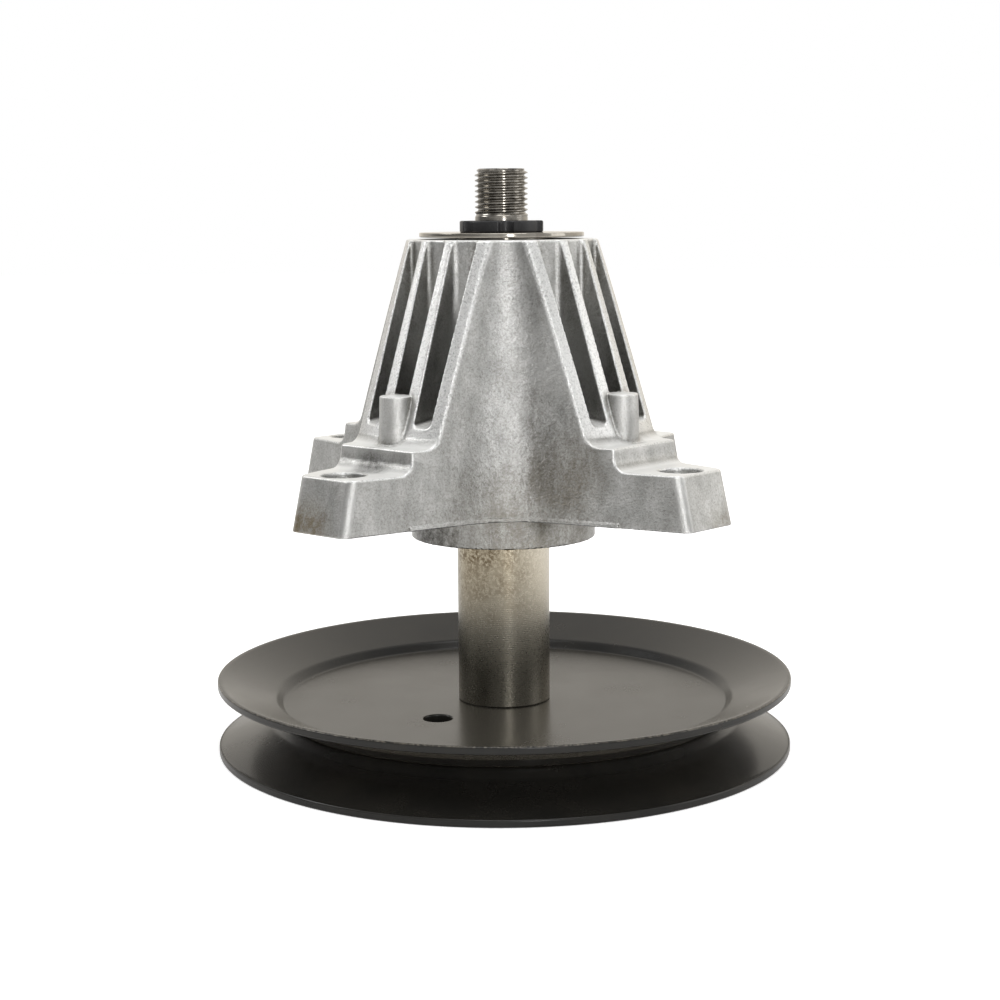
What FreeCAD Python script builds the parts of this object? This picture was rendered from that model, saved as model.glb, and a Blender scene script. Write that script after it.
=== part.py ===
import FreeCAD, Part
import math
import os

# Mower deck spindle, standing on its pulley rim with the blade end up.
# Millimetres. Z is the spindle axis, z = 0 is the plane of the lower pulley rim,
# and the four ears of the housing lie on the diagonals between X and Y.

# Pulley, two pressed halves back to back
pulley_diameter = 158.75
pulley_height = 20.2
sheet_thickness = 2.1
web_radius = 61.4
foot_width = 2.0
flange_foot_height = 2.3
rim_lip_width = 1.2
web_bend_radius = 2.0
flange_bend_radius = 5.0
web_hole_diameter = 7.8
web_hole_circle_radius = 28.8
web_hole_angle = -131.8

# Shaft and what is clamped on it
shaft_radius = 8.45
thread_radius = 7.144
thread_chamfer = 0.9
drive_spacer_radius = 12.7
drive_spacer_length = 47.1
inner_spacer_radius = 11.4
inner_spacer_length = 55.7
washer_radius = 22.3
washer_thickness = 1.24
washer_boss_height = 0.98
washer_edge_chamfer = 0.3
star_radius = 11.3
star_thickness = 3.1
star_lobes = 6
star_notch_radius = 2.3
star_notch_depth = 1.5
star_notch_angle = -87.0
stud_length = 13.8
nut_across_flats = 22.2
nut_height = 6.35
shaft_tail = 0.9
shoulder_setback = 1.2

# Sealed ball bearings, one size at both ends
bearing_bore = 17.0
bearing_diameter = 40.0
bearing_width = 12.0
ball_diameter = 6.747
ball_count = 8
inner_ring_wall = 3.5
outer_ring_wall = 3.1
seal_thickness = 0.8
seal_recess = 0.5
seal_seat_depth = 0.7
cage_half_width = 4.0
cage_thickness = 2.0
ring_edge_chamfer = 0.6

# Housing casting
pilot_radius = 25.3
pilot_height = 8.8
pilot_lip = 0.9
blade_end_recess = 0.44
bore_shoulder = 2.2
ear_height = 14.2
shelf_height = 20.1
step_setback = 21.5
ear_reach = 70.4
ear_half_width = 9.7
ear_taper = 12.6
ear_end_draft = 13.7
ear_side_draft = 4.3
ear_corner_radius = 2.0
valley_radius_low = 21.0
valley_radius_high = 13.0
step_draft = 6.0
step_foot_radius = 3.0
step_edge_radius = 0.8
cone_top_radius = 26.1
cone_slope = 0.345
hub_top_radius = 25.0
hub_slope = 0.021
rib_pitch = 8.75
rib_tip_thickness = 2.35
rib_foot_thickness = 4.0
rib_foot_radius = 4.0
hub_foot_radius = 4.5
pocket_floor_radius = 1.6
boss_setback = 7.4
boss_radius = 4.5
boss_height = 12.7
boss_draft = 1.5
bolt_hole_radius = 5.6
bolt_hole_chamfer = 0.4
bolt_end_wall = 0.6

# Fits
fit_gap = 0.05
thread_gap = 0.06
ball_gap = 0.05
cage_gap = 0.12
seal_gap = 0.25
cut_margin = 5.0
same_place = 1e-3

# Places worked out from the sizes above
groove_level = pulley_height / 2
web_top = groove_level + sheet_thickness
web_bottom = groove_level - sheet_thickness
pulley_bearing_low = web_top + drive_spacer_length
pulley_bearing_high = pulley_bearing_low + bearing_width
blade_bearing_low = pulley_bearing_high + inner_spacer_length
blade_bearing_high = blade_bearing_low + bearing_width
washer_low = blade_bearing_high + washer_boss_height
star_low = washer_low + washer_thickness
star_high = star_low + star_thickness
stud_high = star_high + stud_length
nut_low = web_bottom - nut_height
shaft_low = nut_low - shaft_tail
shaft_shoulder = web_top + shoulder_setback
pilot_low = pulley_bearing_low - pilot_lip
flange_low = pilot_low + pilot_height
ear_top = flange_low + ear_height
shelf_top = flange_low + shelf_height
housing_top = blade_bearing_high + blade_end_recess

groove_root_radius = web_radius + foot_width
shelf_reach = ear_reach - step_setback
boss_reach = shelf_reach - boss_setback
ear_top_reach = ear_reach - ear_height * math.tan(math.radians(ear_end_draft))
bolt_circle_radius = ear_top_reach - bolt_end_wall - bolt_hole_chamfer - bolt_hole_radius

pulley_radius = pulley_diameter / 2
bore_radius = bearing_bore / 2
seat_radius = bearing_diameter / 2
inner_land_radius = bore_radius + inner_ring_wall
outer_land_radius = seat_radius - outer_ring_wall
ball_radius = ball_diameter / 2
ball_circle_radius = (inner_land_radius + outer_land_radius) / 2
arm_angles = [45, 135, 225, 315]
up = FreeCAD.Vector(0, 0, 1)
origin = FreeCAD.Vector(0, 0, 0)


def polar(radius, angle, z=0.0):
    """A point at a radius and an angle in degrees about the spindle axis."""
    turn = math.radians(angle)
    return FreeCAD.Vector(radius * math.cos(turn), radius * math.sin(turn), z)


def turned(points):
    """A solid of revolution about Z from a closed outline of (radius, z) points."""
    corners = [FreeCAD.Vector(r, 0, z) for r, z in points]
    face = Part.Face(Part.makePolygon(corners + corners[:1]))
    return face.revolve(origin, up, 360)


def tube(inner, outer, low, high):
    """A plain ring or tube about Z."""
    return turned([(inner, low), (outer, low), (outer, high), (inner, high)])


def circle_edges(shape, radius, z):
    """The full circular edges of a shape that have a given radius and height."""
    found = []
    for edge in shape.Edges:
        curve = edge.Curve
        if isinstance(curve, Part.Circle):
            if abs(curve.Radius - radius) < same_place and abs(curve.Center.z - z) < same_place:
                found.append(edge)
    return found


def rounded_corner(before, corner, after, radius):
    """The two tangent points and the middle of the arc that rounds a corner."""
    back = (before - corner).normalize()
    ahead = (after - corner).normalize()
    half = back.getAngle(ahead) / 2
    reach = radius / math.tan(half)
    bisector = (back + ahead).normalize()
    middle = corner + bisector * (radius / math.sin(half) - radius)
    return corner + back * reach, middle, corner + ahead * reach


def line(start, end):
    return Part.LineSegment(start, end).toShape()


def arc(start, middle, end):
    return Part.Arc(start, middle, end).toShape()


def pulley_half(side):
    """One pressed half: web, short steep foot, groove flange and a flat lip at the rim.

    side is 1 for the half above the groove level and -1 for the half below it.
    """
    foot_z = sheet_thickness + flange_foot_height
    lip_z = pulley_height / 2
    lip_radius = pulley_radius - rim_lip_width
    bore = thread_radius + thread_gap
    path = [(web_radius, sheet_thickness), (groove_root_radius, foot_z), (lip_radius, lip_z)]
    foot_angle = math.atan2(foot_z - sheet_thickness, groove_root_radius - web_radius)
    flange_angle = math.atan2(lip_z - foot_z, lip_radius - groove_root_radius)
    web_shift = sheet_thickness * math.tan(foot_angle / 2)
    root_mitre = (foot_angle + flange_angle) / 2
    root_shift = sheet_thickness / math.cos((foot_angle - flange_angle) / 2)
    lip_shift = sheet_thickness * math.tan(flange_angle / 2)
    upper = [(bore, sheet_thickness)] + path + [(pulley_radius, lip_z)]
    lower = [
        (pulley_radius, lip_z - sheet_thickness),
        (lip_radius + lip_shift, lip_z - sheet_thickness),
        (groove_root_radius + root_shift * math.sin(root_mitre), foot_z - root_shift * math.cos(root_mitre)),
        (web_radius + web_shift, 0.0),
        (bore, 0.0),
    ]
    half = turned(upper + lower)
    half = half.makeFillet(web_bend_radius, circle_edges(half, web_radius, sheet_thickness))
    half = half.makeFillet(flange_bend_radius, circle_edges(half, groove_root_radius, foot_z))
    hole_foot = polar(web_hole_circle_radius, web_hole_angle, -cut_margin)
    hole = Part.makeCylinder(web_hole_diameter / 2, sheet_thickness + 2 * cut_margin, hole_foot)
    half = half.cut(hole)
    if side < 0:
        half = half.mirror(origin, up)
    half.translate(up * groove_level)
    return half


def blade_star():
    """The six-lobed driver under the blade, a disc with round notches between the lobes."""
    star = Part.makeCylinder(star_radius, star_thickness, FreeCAD.Vector(0, 0, star_low))
    notch_reach = star_radius - star_notch_depth + star_notch_radius
    for index in range(star_lobes):
        foot = polar(notch_reach, star_notch_angle + index * 360 / star_lobes, star_low - cut_margin)
        star = star.cut(Part.makeCylinder(star_notch_radius, star_thickness + 2 * cut_margin, foot))
    return star


def spindle_shaft():
    """The shaft in one piece: threaded tail, journal, star and threaded stud."""
    tip = thread_radius - thread_chamfer
    body = turned([
        (0, shaft_low), (tip, shaft_low), (thread_radius, shaft_low + thread_chamfer),
        (thread_radius, shaft_shoulder), (shaft_radius, shaft_shoulder),
        (shaft_radius, star_low), (thread_radius, star_low),
        (thread_radius, stud_high - thread_chamfer), (tip, stud_high), (0, stud_high),
    ])
    return body.fuse(blade_star()).removeSplitter()


def blade_washer():
    """The turned disc with a low boss that stands on the inner ring of the blade bearing."""
    bore = shaft_radius + fit_gap
    boss = inner_land_radius - seal_gap
    edge = washer_radius - washer_edge_chamfer
    return turned([
        (bore, blade_bearing_high), (boss, blade_bearing_high), (boss, washer_low),
        (edge, washer_low), (washer_radius, washer_low + washer_edge_chamfer),
        (washer_radius, star_low - washer_edge_chamfer), (edge, star_low), (bore, star_low),
    ])


def pulley_nut():
    """A thin hexagon nut with its corners turned off at both faces."""
    corner_radius = nut_across_flats / math.sqrt(3)
    corners = [polar(corner_radius, 60 * index, nut_low) for index in range(7)]
    prism = Part.Face(Part.makePolygon(corners)).extrude(up * nut_height)
    flat_radius = nut_across_flats / 2
    drop = (corner_radius - flat_radius) * math.tan(math.radians(30))
    lathe = turned([
        (thread_radius + thread_gap, nut_low), (flat_radius, nut_low), (corner_radius, nut_low + drop),
        (corner_radius, web_bottom - drop), (flat_radius, web_bottom), (thread_radius + thread_gap, web_bottom),
    ])
    return prism.common(lathe)


def bearing_inner_ring(low):
    """The inner ring with its ball groove."""
    middle = low + bearing_width / 2
    land = inner_land_radius - ring_edge_chamfer
    ring = turned([
        (bore_radius, low), (land, low), (inner_land_radius, low + ring_edge_chamfer),
        (inner_land_radius, low + bearing_width - ring_edge_chamfer),
        (land, low + bearing_width), (bore_radius, low + bearing_width),
    ])
    return ring.cut(ball_track(middle))


def bearing_outer_ring(low):
    """The outer ring with its ball groove and a seat for a seal at each face."""
    high = low + bearing_width
    seat = seal_recess + seal_thickness
    seal_seat_radius = outer_land_radius + seal_seat_depth
    shoulder = seat_radius - ring_edge_chamfer
    ring = turned([
        (seal_seat_radius, low), (shoulder, low), (seat_radius, low + ring_edge_chamfer),
        (seat_radius, high - ring_edge_chamfer), (shoulder, high), (seal_seat_radius, high),
        (seal_seat_radius, high - seat), (outer_land_radius, high - seat),
        (outer_land_radius, low + seat), (seal_seat_radius, low + seat),
    ])
    return ring.cut(ball_track(low + bearing_width / 2))


def ball_track(middle):
    """The round groove that the balls roll in, as a cutter."""
    return Part.makeTorus(ball_circle_radius, ball_radius + ball_gap, FreeCAD.Vector(0, 0, middle))


def bearing_balls(low):
    """The balls of one bearing, as separate solids."""
    middle = low + bearing_width / 2
    places = [polar(ball_circle_radius, index * 360 / ball_count, middle) for index in range(ball_count)]
    return Part.makeCompound([Part.makeSphere(ball_radius, place) for place in places])


def bearing_cage(low):
    """The moulded cage, a ring with a round window for each ball."""
    middle = low + bearing_width / 2
    inner = ball_circle_radius - cage_thickness / 2
    cage = tube(inner, inner + cage_thickness, middle - cage_half_width, middle + cage_half_width)
    for index in range(ball_count):
        way = polar(1, index * 360 / ball_count)
        start = FreeCAD.Vector(0, 0, middle)
        cage = cage.cut(Part.makeCylinder(ball_radius + cage_gap, seat_radius, start, way))
    return cage


def bearing_seal(low, face):
    """A flat seal pressed into the outer ring, just clear of the inner ring.

    face is 1 for the seal at the upper face of the bearing and -1 for the lower one.
    """
    outer = outer_land_radius + seal_seat_depth - fit_gap
    inner = inner_land_radius + seal_gap
    start = low + seal_recess
    if face > 0:
        start = low + bearing_width - seal_recess - seal_thickness
    return tube(inner, outer, start, start + seal_thickness)


def arm_outline(level, reach, half_width, valley_radius):
    """The plan outline of the casting at one level: four tapered arms joined by hollow arcs."""
    wall_angle = math.radians(45 - ear_taper)
    corner_across = (reach - half_width) / math.sqrt(2)
    corner_out = (reach + half_width) / math.sqrt(2)
    arc_centre = corner_out - corner_across * math.tan(wall_angle) + valley_radius / math.cos(wall_angle)
    tangent_across = valley_radius * math.sin(wall_angle)
    tangent_out = arc_centre - valley_radius * math.cos(wall_angle)

    def place(panel_angle, across, out):
        return polar(out, panel_angle, level) + polar(across, panel_angle - 90)

    edges = []
    for arm in arm_angles:
        panel = arm + 45
        last_panel = arm - 45
        near_corner = place(last_panel, -corner_across, corner_out)
        far_corner = place(panel, corner_across, corner_out)
        wall_in = place(last_panel, -tangent_across, tangent_out)
        wall_out = place(panel, tangent_across, tangent_out)
        valley = place(panel, 0, arc_centre - valley_radius)
        next_wall = place(panel, -tangent_across, tangent_out)
        near = rounded_corner(wall_in, near_corner, far_corner, ear_corner_radius)
        far = rounded_corner(near_corner, far_corner, wall_out, ear_corner_radius)
        edges.append(line(wall_in, near[0]))
        edges.append(arc(*near))
        edges.append(line(near[2], far[0]))
        edges.append(arc(*far))
        edges.append(line(far[2], wall_out))
        edges.append(arc(wall_out, valley, next_wall))
    return Part.Wire(edges)


def arm_block():
    """The four arms drawn up to the full height, drafted on their ends and sides."""
    height = housing_top - flange_low
    end_rise = height * math.tan(math.radians(ear_end_draft))
    side_rise = height * math.tan(math.radians(ear_side_draft))
    taper = math.radians(ear_taper)
    top_reach = ear_reach - end_rise
    top_half_width = ear_half_width + end_rise * math.tan(taper) - side_rise / math.cos(taper)
    low = arm_outline(flange_low, ear_reach, ear_half_width, valley_radius_low)
    high = arm_outline(housing_top, top_reach, top_half_width, valley_radius_high)
    return Part.makeLoft([low, high], True, True)


def arm_step(angle):
    """The stepped side view of one arm, shelf, step and ear, drawn across the arm."""
    wall_foot = shelf_reach + (shelf_top - ear_top) * math.tan(math.radians(step_draft))
    out = ear_reach + cut_margin
    start = FreeCAD.Vector(0, 0, flange_low)
    low = FreeCAD.Vector(out, 0, flange_low)
    end = FreeCAD.Vector(out, 0, ear_top)
    foot = FreeCAD.Vector(wall_foot, 0, ear_top)
    edge = FreeCAD.Vector(shelf_reach, 0, shelf_top)
    inner = FreeCAD.Vector(0, 0, shelf_top)
    foot_arc = rounded_corner(end, foot, edge, step_foot_radius)
    edge_arc = rounded_corner(foot, edge, inner, step_edge_radius)
    outline = Part.Wire([
        line(start, low), line(low, end), line(end, foot_arc[0]), arc(*foot_arc),
        line(foot_arc[2], edge_arc[0]), arc(*edge_arc), line(edge_arc[2], inner), line(inner, start),
    ])
    half = 2 * ear_half_width
    step = Part.Face(outline).extrude(FreeCAD.Vector(0, 2 * half, 0))
    step.translate(FreeCAD.Vector(0, -half, 0))
    step.rotate(origin, up, angle)
    return step


def flared_cone(top_radius, slope, top, foot_radius):
    """A cone about Z whose foot runs out into the shelf level in a hollow arc."""
    tip = FreeCAD.Vector(top_radius, 0, top)
    corner = FreeCAD.Vector(top_radius + slope * (top - shelf_top), 0, shelf_top)
    flare = rounded_corner(tip, corner, corner + FreeCAD.Vector(1, 0, 0), foot_radius)
    low = FreeCAD.Vector(flare[2].x, 0, flange_low)
    axis_low = FreeCAD.Vector(0, 0, flange_low)
    axis_top = FreeCAD.Vector(0, 0, top)
    outline = Part.Wire([
        line(axis_low, low), line(low, flare[2]), arc(flare[2], flare[1], flare[0]),
        line(flare[0], tip), line(tip, axis_top), line(axis_top, axis_low),
    ])
    return Part.Face(outline).revolve(origin, up, 360)


def casting_envelope():
    """The rib cone and the four stepped arms, which trim the arm block."""
    cone = flared_cone(cone_top_radius, cone_slope, housing_top, rib_foot_radius)
    return cone.multiFuse([arm_step(angle) for angle in arm_angles])


def rib_pocket(centre, hub):
    """The space between two ribs of an arm that points along X, wider at the top."""
    rise = housing_top - shelf_top
    grow = (rib_foot_thickness - rib_tip_thickness) / 2 / rise
    top = housing_top + cut_margin
    foot_half = (rib_pitch - rib_foot_thickness) / 2
    top_half = foot_half + grow * (top - shelf_top)
    section = [
        FreeCAD.Vector(0, centre - foot_half, shelf_top), FreeCAD.Vector(0, centre + foot_half, shelf_top),
        FreeCAD.Vector(0, centre + top_half, top), FreeCAD.Vector(0, centre - top_half, top),
    ]
    wedge = Part.Face(Part.makePolygon(section + section[:1])).extrude(FreeCAD.Vector(ear_reach, 0, 0))
    long_edges = []
    for edge in wedge.Edges:
        box = edge.BoundBox
        if box.ZMax < shelf_top + same_place and box.XLength > cut_margin:
            long_edges.append(edge)
    wedge = wedge.makeFillet(min(pocket_floor_radius, foot_half - fit_gap), long_edges)
    return wedge.cut(hub)


def spindle_housing():
    """The die casting: arms, ribbed cone, bosses, pilot, bearing seats and bolt holes."""
    hub = flared_cone(hub_top_radius, hub_slope, housing_top + 2 * cut_margin, hub_foot_radius)
    body = arm_block().common(casting_envelope())
    pockets = [rib_pocket(place * rib_pitch, hub) for place in (-1, 0, 1)]
    boss_foot = FreeCAD.Vector(boss_reach, 0, shelf_top - step_edge_radius)
    boss_rise = boss_height + step_edge_radius
    boss_tip = boss_radius - boss_rise * math.tan(math.radians(boss_draft))
    boss = Part.makeCone(boss_radius, boss_tip, boss_rise, boss_foot)
    cutters = []
    bosses = []
    for angle in arm_angles:
        for pocket in pockets:
            cutters.append(pocket.rotated(origin, up, angle))
        bosses.append(boss.rotated(origin, up, angle))
    pilot = Part.makeCylinder(pilot_radius, pilot_height + ear_height, FreeCAD.Vector(0, 0, pilot_low))
    body = body.cut(cutters).multiFuse(bosses + [pilot])
    return body.cut([bearing_bores()] + bolt_holes()).removeSplitter()


def bearing_bores():
    """The through bore and the two bearing seats, as one cutter."""
    seat = seat_radius + fit_gap
    throat = seat_radius - bore_shoulder
    return turned([
        (0, pilot_low - cut_margin), (seat, pilot_low - cut_margin), (seat, pulley_bearing_high),
        (throat, pulley_bearing_high), (throat, blade_bearing_low), (seat, blade_bearing_low),
        (seat, housing_top + cut_margin), (0, housing_top + cut_margin),
    ])


def bolt_holes():
    """The ear holes with a broken edge at the top, as cutters."""
    wide = bolt_hole_radius + bolt_hole_chamfer
    profile = turned([
        (0, flange_low - cut_margin), (bolt_hole_radius, flange_low - cut_margin),
        (bolt_hole_radius, ear_top - bolt_hole_chamfer), (wide, ear_top), (wide, ear_top + cut_margin / 2),
        (0, ear_top + cut_margin / 2),
    ])
    return [profile.translated(polar(bolt_circle_radius, angle)) for angle in arm_angles]


def save(name, shape):
    shape.exportStep(os.path.join("parts", name + ".step"))


def main():
    os.makedirs("parts", exist_ok=True)
    save("spindle_housing", spindle_housing())
    save("spindle_shaft", spindle_shaft())
    save("blade_washer", blade_washer())
    save("pulley_nut", pulley_nut())
    save("pulley_upper_half", pulley_half(1))
    save("pulley_lower_half", pulley_half(-1))
    spacer_bore = shaft_radius + fit_gap
    save("drive_spacer", tube(spacer_bore, drive_spacer_radius, web_top, pulley_bearing_low))
    save("inner_spacer", tube(spacer_bore, inner_spacer_radius, pulley_bearing_high, blade_bearing_low))
    for end, low, outward in (("blade", blade_bearing_low, 1), ("pulley", pulley_bearing_low, -1)):
        save(end + "_bearing_outer_ring", bearing_outer_ring(low))
        save(end + "_bearing_inner_ring", bearing_inner_ring(low))
        save(end + "_bearing_balls", bearing_balls(low))
        save(end + "_bearing_cage", bearing_cage(low))
        save(end + "_bearing_outer_seal", bearing_seal(low, outward))
        save(end + "_bearing_inner_seal", bearing_seal(low, -outward))


main()
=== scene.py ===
import logging
import math
from dataclasses import dataclass
from enum import Enum
from typing import Any, Iterable, Optional, Sequence

import bmesh
import bpy
import numpy as np
from mathutils import Matrix, Vector


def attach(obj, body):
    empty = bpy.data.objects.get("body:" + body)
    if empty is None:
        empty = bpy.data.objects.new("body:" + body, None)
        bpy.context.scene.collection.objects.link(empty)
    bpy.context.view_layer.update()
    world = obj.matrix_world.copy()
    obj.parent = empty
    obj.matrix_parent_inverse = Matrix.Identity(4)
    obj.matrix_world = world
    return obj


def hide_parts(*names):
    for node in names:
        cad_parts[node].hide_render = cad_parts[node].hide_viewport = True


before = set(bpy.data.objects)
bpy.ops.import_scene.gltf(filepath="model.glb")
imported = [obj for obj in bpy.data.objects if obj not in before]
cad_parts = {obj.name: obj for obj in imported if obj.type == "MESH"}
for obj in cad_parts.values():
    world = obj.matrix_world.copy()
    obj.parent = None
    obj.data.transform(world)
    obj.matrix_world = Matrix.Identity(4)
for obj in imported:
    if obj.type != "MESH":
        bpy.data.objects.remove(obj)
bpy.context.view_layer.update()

# A mower deck spindle standing on its pulley, blade end up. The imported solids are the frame.
# Sizes below are millimetres in the frame's axes and become metres when a mesh is made.
MM = 0.001
# Points of a mesh that are nearer than this get merged, in metres
WELD = 2e-6
# Steps round the axis of a turned surface, and of the small rings inside the bearings
COLUMNS = 384
RING_COLUMNS = 192
# A holding point lies at most this share of a flat away from the flat's corner
HOLD_SHARE = 0.3
# A wave texture of scale 1 has about this many waves in a metre
WAVES = 3.3
# The casting's arms lie on the diagonals: along one, x + y is this times the distance
DIAGONAL = math.sqrt(2)
# Sockets of a Mix node of colours: its share, the colour below, the colour above and the result
SHARE, UNDER, OVER, MIXED = 0, 6, 7, 2

log = logging.getLogger("spindle")


class Body(Enum):
    """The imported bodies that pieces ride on."""

    HOUSING = "housing"
    ROTOR = "rotor"


def linear(colour: str) -> tuple[float, float, float, float]:
    """Turn an sRGB hex colour into linear RGBA.

    Args:
        colour: The colour as #rrggbb.

    Returns:
        Linear red, green, blue and an alpha of 1.
    """
    srgb = np.array([int(colour[start:start + 2], 16) for start in (1, 3, 5)]) / 255.0
    rgb = np.where(srgb <= 0.04045, srgb / 12.92, ((srgb + 0.055) / 1.055) ** 2.4)
    return (*rgb.tolist(), 1.0)


def per_mm(size: float) -> float:
    """The texture scale at which one cell of a pattern is this many millimetres."""
    return 1.0 / (size * MM)


def add_node(tree: bpy.types.NodeTree, kind: str, inputs: Optional[dict[Any, Any]] = None, out: Any = 0,
             **settings: Any) -> Optional[bpy.types.NodeSocket]:
    """Add one shader node with its settings, values and links.

    Args:
        tree: The node tree.
        kind: The node's type name, without ShaderNode.
        inputs: Input name or index to a value, a hex colour, or the socket that feeds it.
        out: Name or index of the output wanted.
        settings: Properties of the node.

    Returns:
        The wanted output, or None for a node without outputs.
    """
    node = tree.nodes.new("ShaderNode" + kind)
    for name, value in settings.items():
        setattr(node, name, value)
    for key, value in (inputs or {}).items():
        if isinstance(value, bpy.types.NodeSocket):
            tree.links.new(value, node.inputs[key])
        else:
            node.inputs[key].default_value = linear(value) if isinstance(value, str) else value
    return node.outputs[out] if node.outputs else None


@dataclass(frozen=True)
class Finish:
    """What every finish shares: its name and the two ends of its node tree."""

    name: str

    def begin(self) -> tuple[bpy.types.Material, bpy.types.NodeTree, bpy.types.NodeSocket]:
        """Make the empty material.

        Returns:
            The material, its tree and the Object coordinates.
        """
        material = bpy.data.materials.new(self.name)
        material.use_nodes = True
        tree = material.node_tree
        tree.nodes.clear()
        return material, tree, add_node(tree, "TexCoord", out="Object")

    def close(self, tree: bpy.types.NodeTree, inputs: dict[Any, Any]) -> None:
        """Add the shader and the output.

        Args:
            tree: The material's tree.
            inputs: The shader's inputs.
        """
        add_node(tree, "OutputMaterial", {"Surface": add_node(tree, "BsdfPrincipled", inputs)})


@dataclass(frozen=True)
class Spot:
    """One marked place: its middle and reach in millimetres, its strength and its colour."""

    place: tuple[float, float, float]
    reach: float
    strength: float
    colour: str = "#7d7464"


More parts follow.
